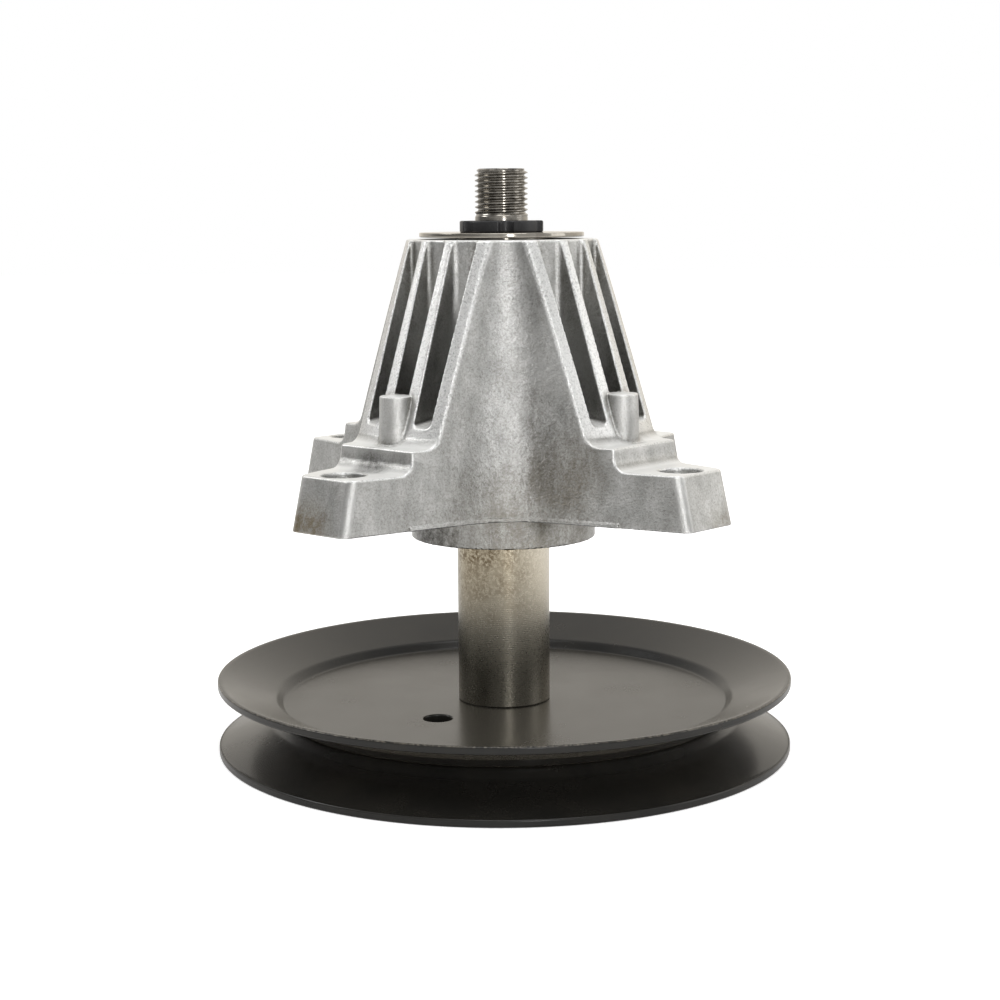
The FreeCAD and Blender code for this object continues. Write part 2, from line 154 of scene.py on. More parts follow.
@dataclass(frozen=True)
class CastAluminium(Finish):
    """Die-cast aluminium, as cast: a satin grey skin with grain, brown stains, bright edges that are partly
    wear and partly a painted highlight, a painted shade deep in the pockets and a painted top light on faces
    that look up.

    Attributes of the casting steer it: edge is 1 on convex edges, nook is 1 in hollow corners, pocket_shade
    is 1 deep in the pockets, face is 1 where the skin faces up and coarse is 1 low on the hollow panels.
    """

    skin: str = "#c9c9c7"
    grey: str = "#a5a5a3"
    # A brighter colour for edges, rib fronts and bolt-hole rims: partly wear, partly a painted highlight.
    bright: str = "#ececea"
    # The colour of the painted top light on skin that faces up.
    painted_top_light: str = "#f0f0ee"
    dark_tone: str = "#6f6b62"
    # The colour of the painted shade deep in the pockets: a little darker than the skin, and rougher by dull.
    pocket_shade: str = "#c4c4c2"
    grain_size: float = 0.55
    grain_depth: float = 0.13
    grain_least: float = 0.7
    peel_size: float = 1.2
    peel_depth: float = 0.24
    blot_size: float = 1.1
    smear_size: float = 5.0
    smear_stretch: float = 0.45
    satin: float = 0.29
    dull: float = 0.25
    top_matte_share: float = 0.5
    hollow_darkening_strength: float = 0.7
    spots: tuple[Spot, ...] = (
        # A brown stain low on the front panel's right; then a column of dark spots, a painted shade for the
        # dark strip where the front panel turns away from the light.
        Spot((15.0, -36.0, 79.0), 16.0, 0.6), Spot((7.3, -31.4, 99.0), 5.5, 0.5, "#57534a"),
        Spot((7.3, -32.1, 92.0), 6.0, 0.6, "#57534a"), Spot((7.4, -32.8, 85.0), 6.5, 0.7, "#57534a"),
        Spot((7.6, -33.6, 78.0), 7.0, 0.7, "#57534a"),
        Spot((-52.0, -46.0, 67.0), 12.0, 0.9, "#7a6a48"), Spot((52.0, -46.0, 67.0), 8.0, 0.5),
        # Darker marks on the pilot: a painted shade, darkest on its left and just under the flange, mixed
        # with stains.
        Spot((0.0, -25.0, 57.0), 34.0, 0.65, "#7f796d"), Spot((-22.0, -13.0, 60.0), 19.0, 0.95, "#2a2823"),
        Spot((20.0, -16.0, 60.0), 15.0, 0.55, "#5a554b"), Spot((9.0, -24.0, 66.0), 6.0, 0.8, "#4a473f"),
        # A faint grey mark low on the panel's left, and a slight darkening of the left ear's top.
        Spot((-12.0, -38.0, 76.0), 8.0, 0.3, "#6f6b62"), Spot((-44.0, -44.0, 81.4), 15.0, 0.15, "#7d7a72"),
        # A near-black painted shade at the foot of the left ear's step wall, and a near-white painted
        # highlight high on the front panel.
        Spot((-35.8, -35.8, 82.0), 7.5, 0.95, "#2c2a26"), Spot((15.0, -31.0, 109.0), 15.0, 0.4, "#f2f2f0"))
    spot_core: float = 0.2

    def stain(self, tree: bpy.types.NodeTree, place: bpy.types.NodeSocket, colour: bpy.types.NodeSocket,
              broken: bpy.types.NodeSocket) -> bpy.types.NodeSocket:
        """Lay the marked places over a colour, each fading out with the distance from its middle. The marks
        are stains, painted shade and a painted highlight.

        Args:
            tree: The material's tree.
            place: The Object coordinates.
            colour: The colour below.
            broken: How far the marks cover, from 0 to 1, which breaks them up.

        Returns:
            The stained colour.
        """
        for spot in self.spots:
            centre = tuple(value * MM for value in spot.place)
            away = add_node(tree, "VectorMath", {0: place, 1: centre}, "Value", operation="DISTANCE")
            near = add_node(tree, "MapRange", {
                "Value": away, "From Min": spot.reach * MM, "From Max": self.spot_core * spot.reach * MM,
                "To Max": spot.strength}, interpolation_type="SMOOTHSTEP")
            near = add_node(tree, "Math", {0: near, 1: broken}, operation="MULTIPLY")
            colour = add_node(tree, "Mix", {
                SHARE: near, UNDER: colour, OVER: spot.colour}, MIXED, data_type="RGBA")
        return colour

    def build(self) -> bpy.types.Material:
        """Make the material. The grain is drawn about twice as coarse as it is, so that it shows.

        Returns:
            The material.
        """
        material, tree, place = self.begin()
        edge, nook, pocket_shade, face, coarse = (add_node(tree, "Attribute", out="Fac", attribute_name=name)
                                          for name in ("edge", "nook", "pocket_shade", "face", "coarse"))
        grain = add_node(tree, "TexNoise", {
            "Vector": place, "Scale": per_mm(self.grain_size), "Detail": 5.0, "Roughness": 0.75})
        peel = add_node(tree, "TexNoise", {
            "Vector": place, "Scale": per_mm(self.peel_size), "Detail": 3.0, "Roughness": 0.6,
            "Distortion": 0.5})
        blot = add_node(tree, "TexNoise", {
            "Vector": place, "Scale": per_mm(self.blot_size), "Detail": 6.0, "Roughness": 0.75})
        stretch = (1.0, 1.0, self.smear_stretch)
        smear = add_node(tree, "TexNoise", {
            "Vector": add_node(tree, "VectorMath", {0: place, 1: stretch}, operation="MULTIPLY"),
            "Scale": per_mm(self.smear_size), "Detail": 6.0, "Roughness": 0.62, "Distortion": 0.4})
        cloud = add_node(tree, "MapRange", {"Value": smear, "From Min": 0.36, "From Max": 0.68})
        speck = add_node(tree, "MapRange", {
            "Value": grain, "From Min": 0.45, "From Max": 0.66, "To Max": 0.52})
        pit = add_node(tree, "MapRange", {"Value": peel, "From Min": 0.5, "From Max": 0.36, "To Max": 0.32})
        pit = add_node(tree, "Math", {0: pit, 1: coarse}, operation="MULTIPLY")
        # shine brightens the grain on edges: partly worn edges, partly a painted highlight on rounded edges
        # and rib fronts.
        shine = add_node(tree, "MapRange", {"Value": grain, "From Min": 0.36, "From Max": 0.52})
        shine = add_node(tree, "Math", {0: shine, 1: edge}, operation="MULTIPLY")
        colour = self.skin
        # The last layer, by face, is a painted top light: skin that faces up is painted lighter.
        for share, tint in ((cloud, self.grey), (speck, self.dark_tone), (pit, self.dark_tone), (shine, self.bright),
                            (face, self.painted_top_light)):
            colour = add_node(tree, "Mix", {SHARE: share, UNDER: colour, OVER: tint}, MIXED, data_type="RGBA")
        broken = add_node(tree, "MapRange", {
            "Value": blot, "From Min": 0.3, "From Max": 0.65, "To Min": 0.35, "To Max": 1.0})
        thick = add_node(tree, "MapRange", {"Value": cloud, "To Min": 0.55, "To Max": 1.3})
        broken = add_node(tree, "Math", {0: broken, 1: thick}, operation="MULTIPLY", use_clamp=True)
        # Stains, painted shade and a painted highlight, spot by spot.
        colour = self.stain(tree, place, colour, broken)
        # Hollow corners get a darker colour in patches.
        patch = add_node(tree, "MapRange", {"Value": blot, "From Min": 0.34, "From Max": 0.62})
        hollow_darkening = add_node(tree, "Math", {0: nook, 1: patch}, operation="MULTIPLY")
        hollow_darkening = add_node(tree, "Math", {0: hollow_darkening, 1: self.hollow_darkening_strength}, operation="MULTIPLY")
        # Then a painted shade deep in the pockets: a plain, slightly darker skin.
        for share, tint in ((hollow_darkening, self.dark_tone), (pocket_shade, self.pocket_shade)):
            colour = add_node(tree, "Mix", {SHARE: share, UNDER: colour, OVER: tint}, MIXED, data_type="RGBA")
        # Skin that faces up is also less metallic, so its painted top light shows as a matte colour.
        metal = add_node(tree, "Math", {0: face, 1: -self.top_matte_share, 2: 1.0}, operation="MULTIPLY_ADD")
        rough = self.satin
        for share in (face, pocket_shade):
            rough = add_node(tree, "Math", {0: share, 1: self.dull, 2: rough}, operation="MULTIPLY_ADD")
        some = add_node(tree, "Math", {
            0: coarse, 1: 1.0 - self.grain_least, 2: self.grain_least}, operation="MULTIPLY_ADD")
        fine = add_node(tree, "Math", {0: grain, 1: some}, operation="MULTIPLY")
        relief = add_node(tree, "Math", {0: peel, 1: coarse}, operation="MULTIPLY")
        normal = add_node(tree, "Bump", {"Height": fine, "Distance": self.grain_depth * MM})
        normal = add_node(tree, "Bump", {
            "Height": relief, "Distance": self.peel_depth * MM, "Normal": normal})
        self.close(tree, {"Base Color": colour, "Metallic": metal, "Roughness": rough, "Normal": normal})
        return material


@dataclass(frozen=True)
class BlackPaint(Finish):
    """Satin black paint on pressed steel sheet: faint orange peel, warm dust, and thin bright rim edges,
    partly worn chips and partly a painted highlight.
    """

    paint: str = "#191918"
    dust: str = "#272521"
    # Bare metal in worn chips, which also paint a thin highlight on the rim's top edge.
    bare_metal_and_highlight: str = "#9a9285"
    haze: str = "#f4e8d0"
    peel_size: float = 0.9
    peel_depth: float = 0.012
    cloud_size: float = 16.0
    chip_size: float = 0.7
    rim_radius: float = 79.2
    rim_width: float = 0.35
    rim_level: float = 20.15
    rim_depth: float = 0.3

    def build(self) -> bpy.types.Material:
        """Make the material. Chips, which also stand as a painted highlight, show only on the outermost top
        edge of the rim.

        Returns:
            The material.
        """
        material, tree, place = self.begin()
        peel = add_node(tree, "TexNoise", {
            "Vector": place, "Scale": per_mm(self.peel_size), "Detail": 2.0})
        cloud = add_node(tree, "TexNoise", {
            "Vector": place, "Scale": per_mm(self.cloud_size), "Detail": 6.0, "Roughness": 0.6})
        chips = add_node(tree, "TexNoise", {
            "Vector": place, "Scale": per_mm(self.chip_size), "Detail": 3.0})
        dust = add_node(tree, "MapRange", {"Value": cloud, "From Min": 0.3, "From Max": 0.75})
        colour = add_node(tree, "Mix", {
            SHARE: dust, UNDER: self.paint, OVER: self.dust}, MIXED, data_type="RGBA")
        flat = add_node(tree, "VectorMath", {0: place, 1: (1.0, 1.0, 0.0)}, operation="MULTIPLY")
        reach = add_node(tree, "VectorMath", {0: flat}, "Value", operation="LENGTH")
        level = add_node(tree, "SeparateXYZ", {0: place}, "Z")
        # A thin bright line on the rim's top edge: worn chips and a painted highlight.
        bright_share = add_node(tree, "MapRange", {"Value": chips, "From Min": 0.4, "From Max": 0.7, "To Max": 0.6})
        for value, end, width in ((reach, self.rim_radius, self.rim_width),
                                  (level, self.rim_level, self.rim_depth)):
            near = add_node(tree, "MapRange", {
                "Value": value, "From Min": (end - width) * MM, "From Max": end * MM})
            bright_share = add_node(tree, "Math", {0: near, 1: bright_share}, operation="MULTIPLY")
        colour = add_node(tree, "Mix", {SHARE: bright_share, UNDER: colour, OVER: self.bare_metal_and_highlight}, MIXED, data_type="RGBA")
        rough = add_node(tree, "MapRange", {
            "Value": cloud, "From Min": 0.3, "From Max": 0.7, "To Min": 0.22, "To Max": 0.28})
        normal = add_node(tree, "Bump", {"Height": peel, "Distance": self.peel_depth * MM})
        self.close(tree, {
            "Base Color": colour, "Roughness": rough, "Normal": normal, "IOR": 1.39,
            "Sheen Weight": 0.07, "Sheen Roughness": 0.4, "Sheen Tint": self.haze})
        return material


@dataclass(frozen=True)
class SteelTube(Finish):
    """Cold drawn steel tube: warm grey, fine turning rings and brown storage stains, most at the top, with a
    painted shade low down and a painted highlight on its right near the top.
    """

    steel: str = "#b9af9a"
    # The painted shade low on the tube.
    painted_low_shade: str = "#827e74"
    stain: str = "#5f4f37"
    # The painted highlight on the tube's right near the top.
    painted_highlight: str = "#ded6c6"
    stain_and_shade_low: float = 34.0
    stain_and_shade_high: float = 56.0
    highlight_side: float = 10.0
    ring_size: float = 0.5
    ring_depth: float = 0.006
    speck_size: float = 0.8
    speck_depth: float = 0.012
    cloud_size: float = 6.0

    def build(self) -> bpy.types.Material:
        """Make the material. Stains thin out downwards and towards the highlight side; low down the tube is
        painted darker as a painted shade, and near the top of the highlight side it is painted lighter as a
        painted highlight.

        Returns:
            The material.
        """
        material, tree, place = self.begin()
        rings = add_node(tree, "TexWave", {
            "Vector": place, "Scale": per_mm(self.ring_size) / WAVES, "Distortion": 1.5, "Detail": 2.0},
            "Fac", bands_direction="Z")
        speck = add_node(tree, "TexNoise", {
            "Vector": place, "Scale": per_mm(self.speck_size), "Detail": 5.0, "Roughness": 0.72})
        cloud = add_node(tree, "TexNoise", {
            "Vector": place, "Scale": per_mm(self.cloud_size), "Detail": 3.0})
        across, level = (add_node(tree, "SeparateXYZ", {0: place}, axis) for axis in "XZ")
        high = add_node(tree, "MapRange", {
            "Value": level, "From Min": self.stain_and_shade_low * MM, "From Max": self.stain_and_shade_high * MM,
            "To Min": 0.1, "To Max": 1.0})
        side = add_node(tree, "MapRange", {
            "Value": across, "From Min": self.highlight_side * MM, "From Max": 0.0, "To Min": 0.1})
        patch = add_node(tree, "MapRange", {"Value": cloud, "From Min": 0.3, "From Max": 0.62})
        stained = add_node(tree, "MapRange", {"Value": speck, "From Min": 0.38, "From Max": 0.56})
        for share in (patch, high, side):
            stained = add_node(tree, "Math", {0: stained, 1: share}, operation="MULTIPLY")
        bright_share = add_node(tree, "Math", {0: 1.0, 1: side}, operation="SUBTRACT")
        bright_share = add_node(tree, "Math", {0: bright_share, 1: high}, operation="MULTIPLY")
        # Painted shade low down, plain steel higher up, a painted highlight on the right near the top, then
        # the stains.
        colour = self.painted_low_shade
        for share, tint in ((high, self.steel), (bright_share, self.painted_highlight), (stained, self.stain)):
            colour = add_node(tree, "Mix", {SHARE: share, UNDER: colour, OVER: tint}, MIXED, data_type="RGBA")
        rough = add_node(tree, "MapRange", {
            "Value": speck, "From Min": 0.3, "From Max": 0.7, "To Min": 0.22, "To Max": 0.36})
        normal = add_node(tree, "Bump", {"Height": rings, "Distance": self.ring_depth * MM})
        normal = add_node(tree, "Bump", {
            "Height": speck, "Distance": self.speck_depth * MM, "Normal": normal})
        self.close(tree, {"Base Color": colour, "Metallic": 1.0, "Roughness": rough, "Normal": normal})
        return material


@dataclass(frozen=True)
class TurnedSteel(Finish):
    """Turned bright steel: fine tool rings round the axis and a little uneven sheen."""

    steel: str = "#cfccc6"
    dull: str = "#a9a399"
    low_rough: float = 0.16
    high_rough: float = 0.3
    ring_size: float = 0.3
    ring_depth: float = 0.004
    cloud_size: float = 2.2

    def build(self) -> bpy.types.Material:
        """Make the material.

        Returns:
            The material.
        """
        material, tree, place = self.begin()
        rings = add_node(tree, "TexWave", {
            "Vector": place, "Scale": per_mm(self.ring_size) / WAVES, "Distortion": 0.6, "Detail": 1.0},
            "Fac", wave_type="RINGS", rings_direction="Z")
        cloud = add_node(tree, "TexNoise", {
            "Vector": place, "Scale": per_mm(self.cloud_size), "Detail": 4.0, "Roughness": 0.6})
        patch = add_node(tree, "MapRange", {"Value": cloud, "From Min": 0.45, "From Max": 0.7})
        colour = add_node(tree, "Mix", {
            SHARE: patch, UNDER: self.steel, OVER: self.dull}, MIXED, data_type="RGBA")
        rough = add_node(tree, "MapRange", {
            "Value": cloud, "From Min": 0.3, "From Max": 0.7,
            "To Min": self.low_rough, "To Max": self.high_rough})
        normal = add_node(tree, "Bump", {"Height": rings, "Distance": self.ring_depth * MM})
        self.close(tree, {"Base Color": colour, "Metallic": 1.0, "Roughness": rough, "Normal": normal})
        return material


@dataclass(frozen=True)
class PlainFinish(Finish):
    """A coated or moulded surface: one colour with a finer second tone, mottled and lightly grained."""

    colour: str = "#202020"
    tone: str = "#2c2c2c"
    metallic: float = 0.0
    roughness: float = 0.45
    grain: float = 0.6
    relief: float = 0.012

    def build(self) -> bpy.types.Material:
        """Make the material.

        Returns:
            The material.
        """
        material, tree, place = self.begin()
        grain = add_node(tree, "TexNoise", {
            "Vector": place, "Scale": per_mm(self.grain), "Detail": 3.0, "Roughness": 0.6})
        patch = add_node(tree, "MapRange", {"Value": grain, "From Min": 0.4, "From Max": 0.7})
        colour = add_node(tree, "Mix", {
            SHARE: patch, UNDER: self.colour, OVER: self.tone}, MIXED, data_type="RGBA")
        normal = add_node(tree, "Bump", {"Height": grain, "Distance": self.relief * MM})
        self.close(tree, {"Base Color": colour, "Metallic": self.metallic, "Roughness": self.roughness,
                          "Normal": normal})
        return material


@dataclass(frozen=True)
class Finishes:
    """The finishes of the whole spindle, each made once."""

    casting: bpy.types.Material
    paint: bpy.types.Material
    tube: bpy.types.Material
    turned: bpy.types.Material
    thread: bpy.types.Material
    star: bpy.types.Material
    plating: bpy.types.Material
    bearing: bpy.types.Material
    rubber: bpy.types.Material
    cage: bpy.types.Material

    @classmethod
    def make(cls) -> "Finishes":
        """Make every material.

        Returns:
            The finishes.
        """
        return cls(
            casting=CastAluminium("die_cast_aluminium").build(),
            paint=BlackPaint("satin_black_paint").build(),
            tube=SteelTube("drawn_steel_tube").build(),
            # A finely turned disc, bright enough to mirror what is round it
            turned=TurnedSteel("turned_steel", steel="#aaa59c", dull="#948e85",
                               low_rough=0.08, high_rough=0.17).build(),
            # A rolled thread, darker and a little less even than the disc
            thread=TurnedSteel("rolled_thread_steel", steel="#98948d", dull="#5f5b55",
                               low_rough=0.12, high_rough=0.22).build(),
            # Black oxide on forged steel, near black and dull, with a faint grain
            star=PlainFinish("black_oxide_steel", colour="#1b1b1d", tone="#242426",
                             roughness=0.42, grain=0.5, relief=0.02).build(),
            # Zinc plating, pale and slightly yellow, with a soft shine
            plating=PlainFinish("zinc_plated_steel", colour="#c9c4b4", tone="#b3ad9c",
                                metallic=1.0, roughness=0.3, grain=0.8, relief=0.004).build(),
            # Ground and polished steel, almost a mirror
            bearing=PlainFinish("ground_bearing_steel", colour="#cfcfce", tone="#bdbdbc",
                                metallic=1.0, roughness=0.16, grain=0.4, relief=0.001).build(),
            # Moulded rubber, black and matte
            rubber=PlainFinish("nitrile_rubber", colour="#161616", tone="#1e1e1e",
                               roughness=0.55, grain=0.4, relief=0.006).build(),
            # Moulded polyamide, cream and matte
            cage=PlainFinish("moulded_polyamide", colour="#b9a67e", tone="#ab986f",
                             roughness=0.5, grain=0.7, relief=0.006).build(),
        )


@dataclass
class Patch:
    """One grid surface: points in millimetres, quads into them and each quad's material slot."""

    points: np.ndarray
    quads: np.ndarray
    slot: int = 0


def grid_quads(rows: int, columns: int, wrap_rows: bool = False, wrap_columns: bool = True) -> np.ndarray:
    """Quads of a grid whose point (i, j) has index i * columns + j.

    Args:
        rows: Number of rows.
        columns: Number of columns.
        wrap_rows: The last row joins the first.
        wrap_columns: The last column joins the first.

    Returns:
        Array (rows, columns, 4), one short where the grid isn't wrapped. Columns turning to the
        left about Z and rows going up give quads that face outwards.
    """
    row = np.arange(rows if wrap_rows else rows - 1)[:, None]
    column = np.arange(columns if wrap_columns else columns - 1)[None, :]
    above, beside = (row + 1) % rows, (column + 1) % columns
    return np.stack(np.broadcast_arrays(
        row * columns + column, row * columns + beside,
        above * columns + beside, above * columns + column), axis=-1)


def turns(columns: int = COLUMNS) -> np.ndarray:
    """Equal angles of a full turn, without the last."""
    return np.arange(columns) * (2.0 * math.pi / columns)


def spin_matrix(angle: float) -> np.ndarray:
    """The turn by an angle about Z, in radians, as a matrix for column vectors."""
    cos, sin = math.cos(angle), math.sin(angle)
    return np.array([[cos, -sin, 0.0], [sin, cos, 0.0], [0.0, 0.0, 1.0]])


def round_points(radius: np.ndarray, angle: np.ndarray, level: np.ndarray) -> np.ndarray:
    """Points (r cos a, r sin a, z) of arrays that fit each other, row by row."""
    ring = np.broadcast_arrays(radius * np.cos(angle), radius * np.sin(angle), level)
    return np.stack(ring, axis=-1).reshape(-1, 3)


def lathe(profile: np.ndarray, columns: int = COLUMNS, closed: bool = True) -> Patch:
    """Carry a profile of (radius, z) round the axis: P(i, j) = (r_i cos a_j, r_i sin a_j, z_i).

    Args:
        profile: Array (n, 2), anticlockwise seen with the radius to the right and z up.
        columns: Steps round the axis.
        closed: The profile's end joins its start.

    Returns:
        The turned surface.
    """
    points = round_points(profile[:, :1], turns(columns), profile[:, 1:])
    return Patch(points, grid_quads(len(profile), columns, closed).reshape(-1, 4))


def rounded(corners: Sequence[tuple[float, float, float]], steps: int = 5, rim: float = 0.12,
            closed: bool = True) -> np.ndarray:
    """Round the corners of a profile with arcs and hold the flats flat with a point near each arc.

    A corner of radius R between directions b and a starts R / tan(half angle) back along b. Its arc
    is a circle about the point on the bisector at R / sin(half angle).

    Args:
        corners: (radius, z, corner radius) of each corner.
        steps: Steps in each arc.
        rim: Distance of the holding points from the arcs.
        closed: The profile is a loop; otherwise its two ends stay as they are.

    Returns:
        Array (n, 2) of profile points.
    """
    places = np.array([corner[:2] for corner in corners])
    parts = []
    for index, (_, _, size) in enumerate(corners):
        here, before = places[index], places[index - 1]
        after = places[(index + 1) % len(places)]
        if size <= 0 or (not closed and index in (0, len(places) - 1)):
            parts.append(here[None, :])
            continue
        back, ahead = before - here, after - here
        back_room, ahead_room = np.linalg.norm(back), np.linalg.norm(ahead)
        back, ahead = back / back_room, ahead / ahead_room
        half = 0.5 * math.acos(float(np.clip(back @ ahead, -1.0, 1.0)))
        reach = size / math.tan(half)
        bisector = (back + ahead) / np.linalg.norm(back + ahead)
        centre = here + bisector * size / math.sin(half)
        start, end = here + back * reach, here + ahead * reach
        share = np.linspace(0.0, 1.0, steps + 1)[:, None]
        sweep = math.pi - 2.0 * half
        arm, leg = start - centre, end - centre
        curve = centre + (np.sin((1 - share) * sweep) * arm + np.sin(share * sweep) * leg) / math.sin(sweep)
        parts.append(np.vstack([start + back * min(rim, HOLD_SHARE * back_room), curve,
                                end + ahead * min(rim, HOLD_SHARE * ahead_room)]))
    return np.vstack(parts)


def make_piece(name: str, patches: Iterable[Patch], materials: Sequence[bpy.types.Material],
               sharp_angle: float = 40.0) -> bpy.types.Object:
    """Join patches into one smooth-shaded mesh object at the origin.

    Args:
        name: The piece's name.
        patches: Grid surfaces in millimetres, whose shared borders get welded.
        materials: The material of each slot.
        sharp_angle: Edges bent more than this stay sharp, in degrees.

    Returns:
        The new object.
    """
    patches = list(patches)
    starts = np.cumsum([0] + [len(patch.points) for patch in patches[:-1]])
    points = np.vstack([patch.points for patch in patches]) * MM
    quads = np.vstack([patch.quads + start for patch, start in zip(patches, starts)])
    slots = np.concatenate([np.full(len(patch.quads), patch.slot) for patch in patches])
    mesh = bpy.data.meshes.new(name)
    mesh.from_pydata(points.tolist(), [], quads.tolist())
    mesh.polygons.foreach_set("material_index", slots.astype(np.int32))
    weld(mesh)
    for material in materials:
        mesh.materials.append(material)
    return place_piece(name, mesh, sharp_angle)


def weld(mesh: bpy.types.Mesh) -> None:
    """Merge doubled points, drop collapsed faces and loose points.

    Args:
        mesh: The mesh, in metres.
    """
    work = bmesh.new()
    work.from_mesh(mesh)
    bmesh.ops.remove_doubles(work, verts=work.verts, dist=WELD)
    bmesh.ops.delete(work, geom=[v for v in work.verts if not v.link_faces], context="VERTS")
    work.to_mesh(mesh)
    work.free()


def place_piece(name: str, mesh: bpy.types.Mesh, sharp_angle: float) -> bpy.types.Object:
    """Put a mesh into the scene with smooth shading and sharp edges by angle.

    Args:
        name: The piece's name.
        mesh: Its mesh.
        sharp_angle: Edges bent more than this stay sharp, in degrees.

    Returns:
        The new object.
    """
    mesh.shade_smooth()
    mesh.set_sharp_from_angle(angle=math.radians(sharp_angle))
    mesh.update()
    piece = bpy.data.objects.new(name, mesh)
    bpy.context.scene.collection.objects.link(piece)
    return piece


def fit(piece: bpy.types.Object, body: Body, node: str) -> None:
    """Let a piece ride on its body in place of a CAD node.

    Args:
        piece: The piece.
        body: The body that it moves with.
        node: The CAD node that it stands for.
    """
    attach(piece, body.value)
    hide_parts(node)
    log.info("%s: %d faces on %s", piece.name, len(piece.data.polygons), body.value)


@dataclass
class Levels:
    """Heights of the stack on the shaft, above the rim that it stands on."""

    groove: float = 10.1
    web_bottom: float = 8.0
    web_top: float = 12.2
    nut_low: float = 1.65
    shaft_low: float = 0.75
    shaft_shoulder: float = 13.4
    pilot_low: float = 58.4
    pulley_bearing: float = 59.3
    flange: float = 67.2
    blade_bearing: float = 127.0
    bearing_width: float = 12.0
    washer: float = 139.98
    star: float = 141.22
    stud: float = 144.32
    stud_high: float = 158.12


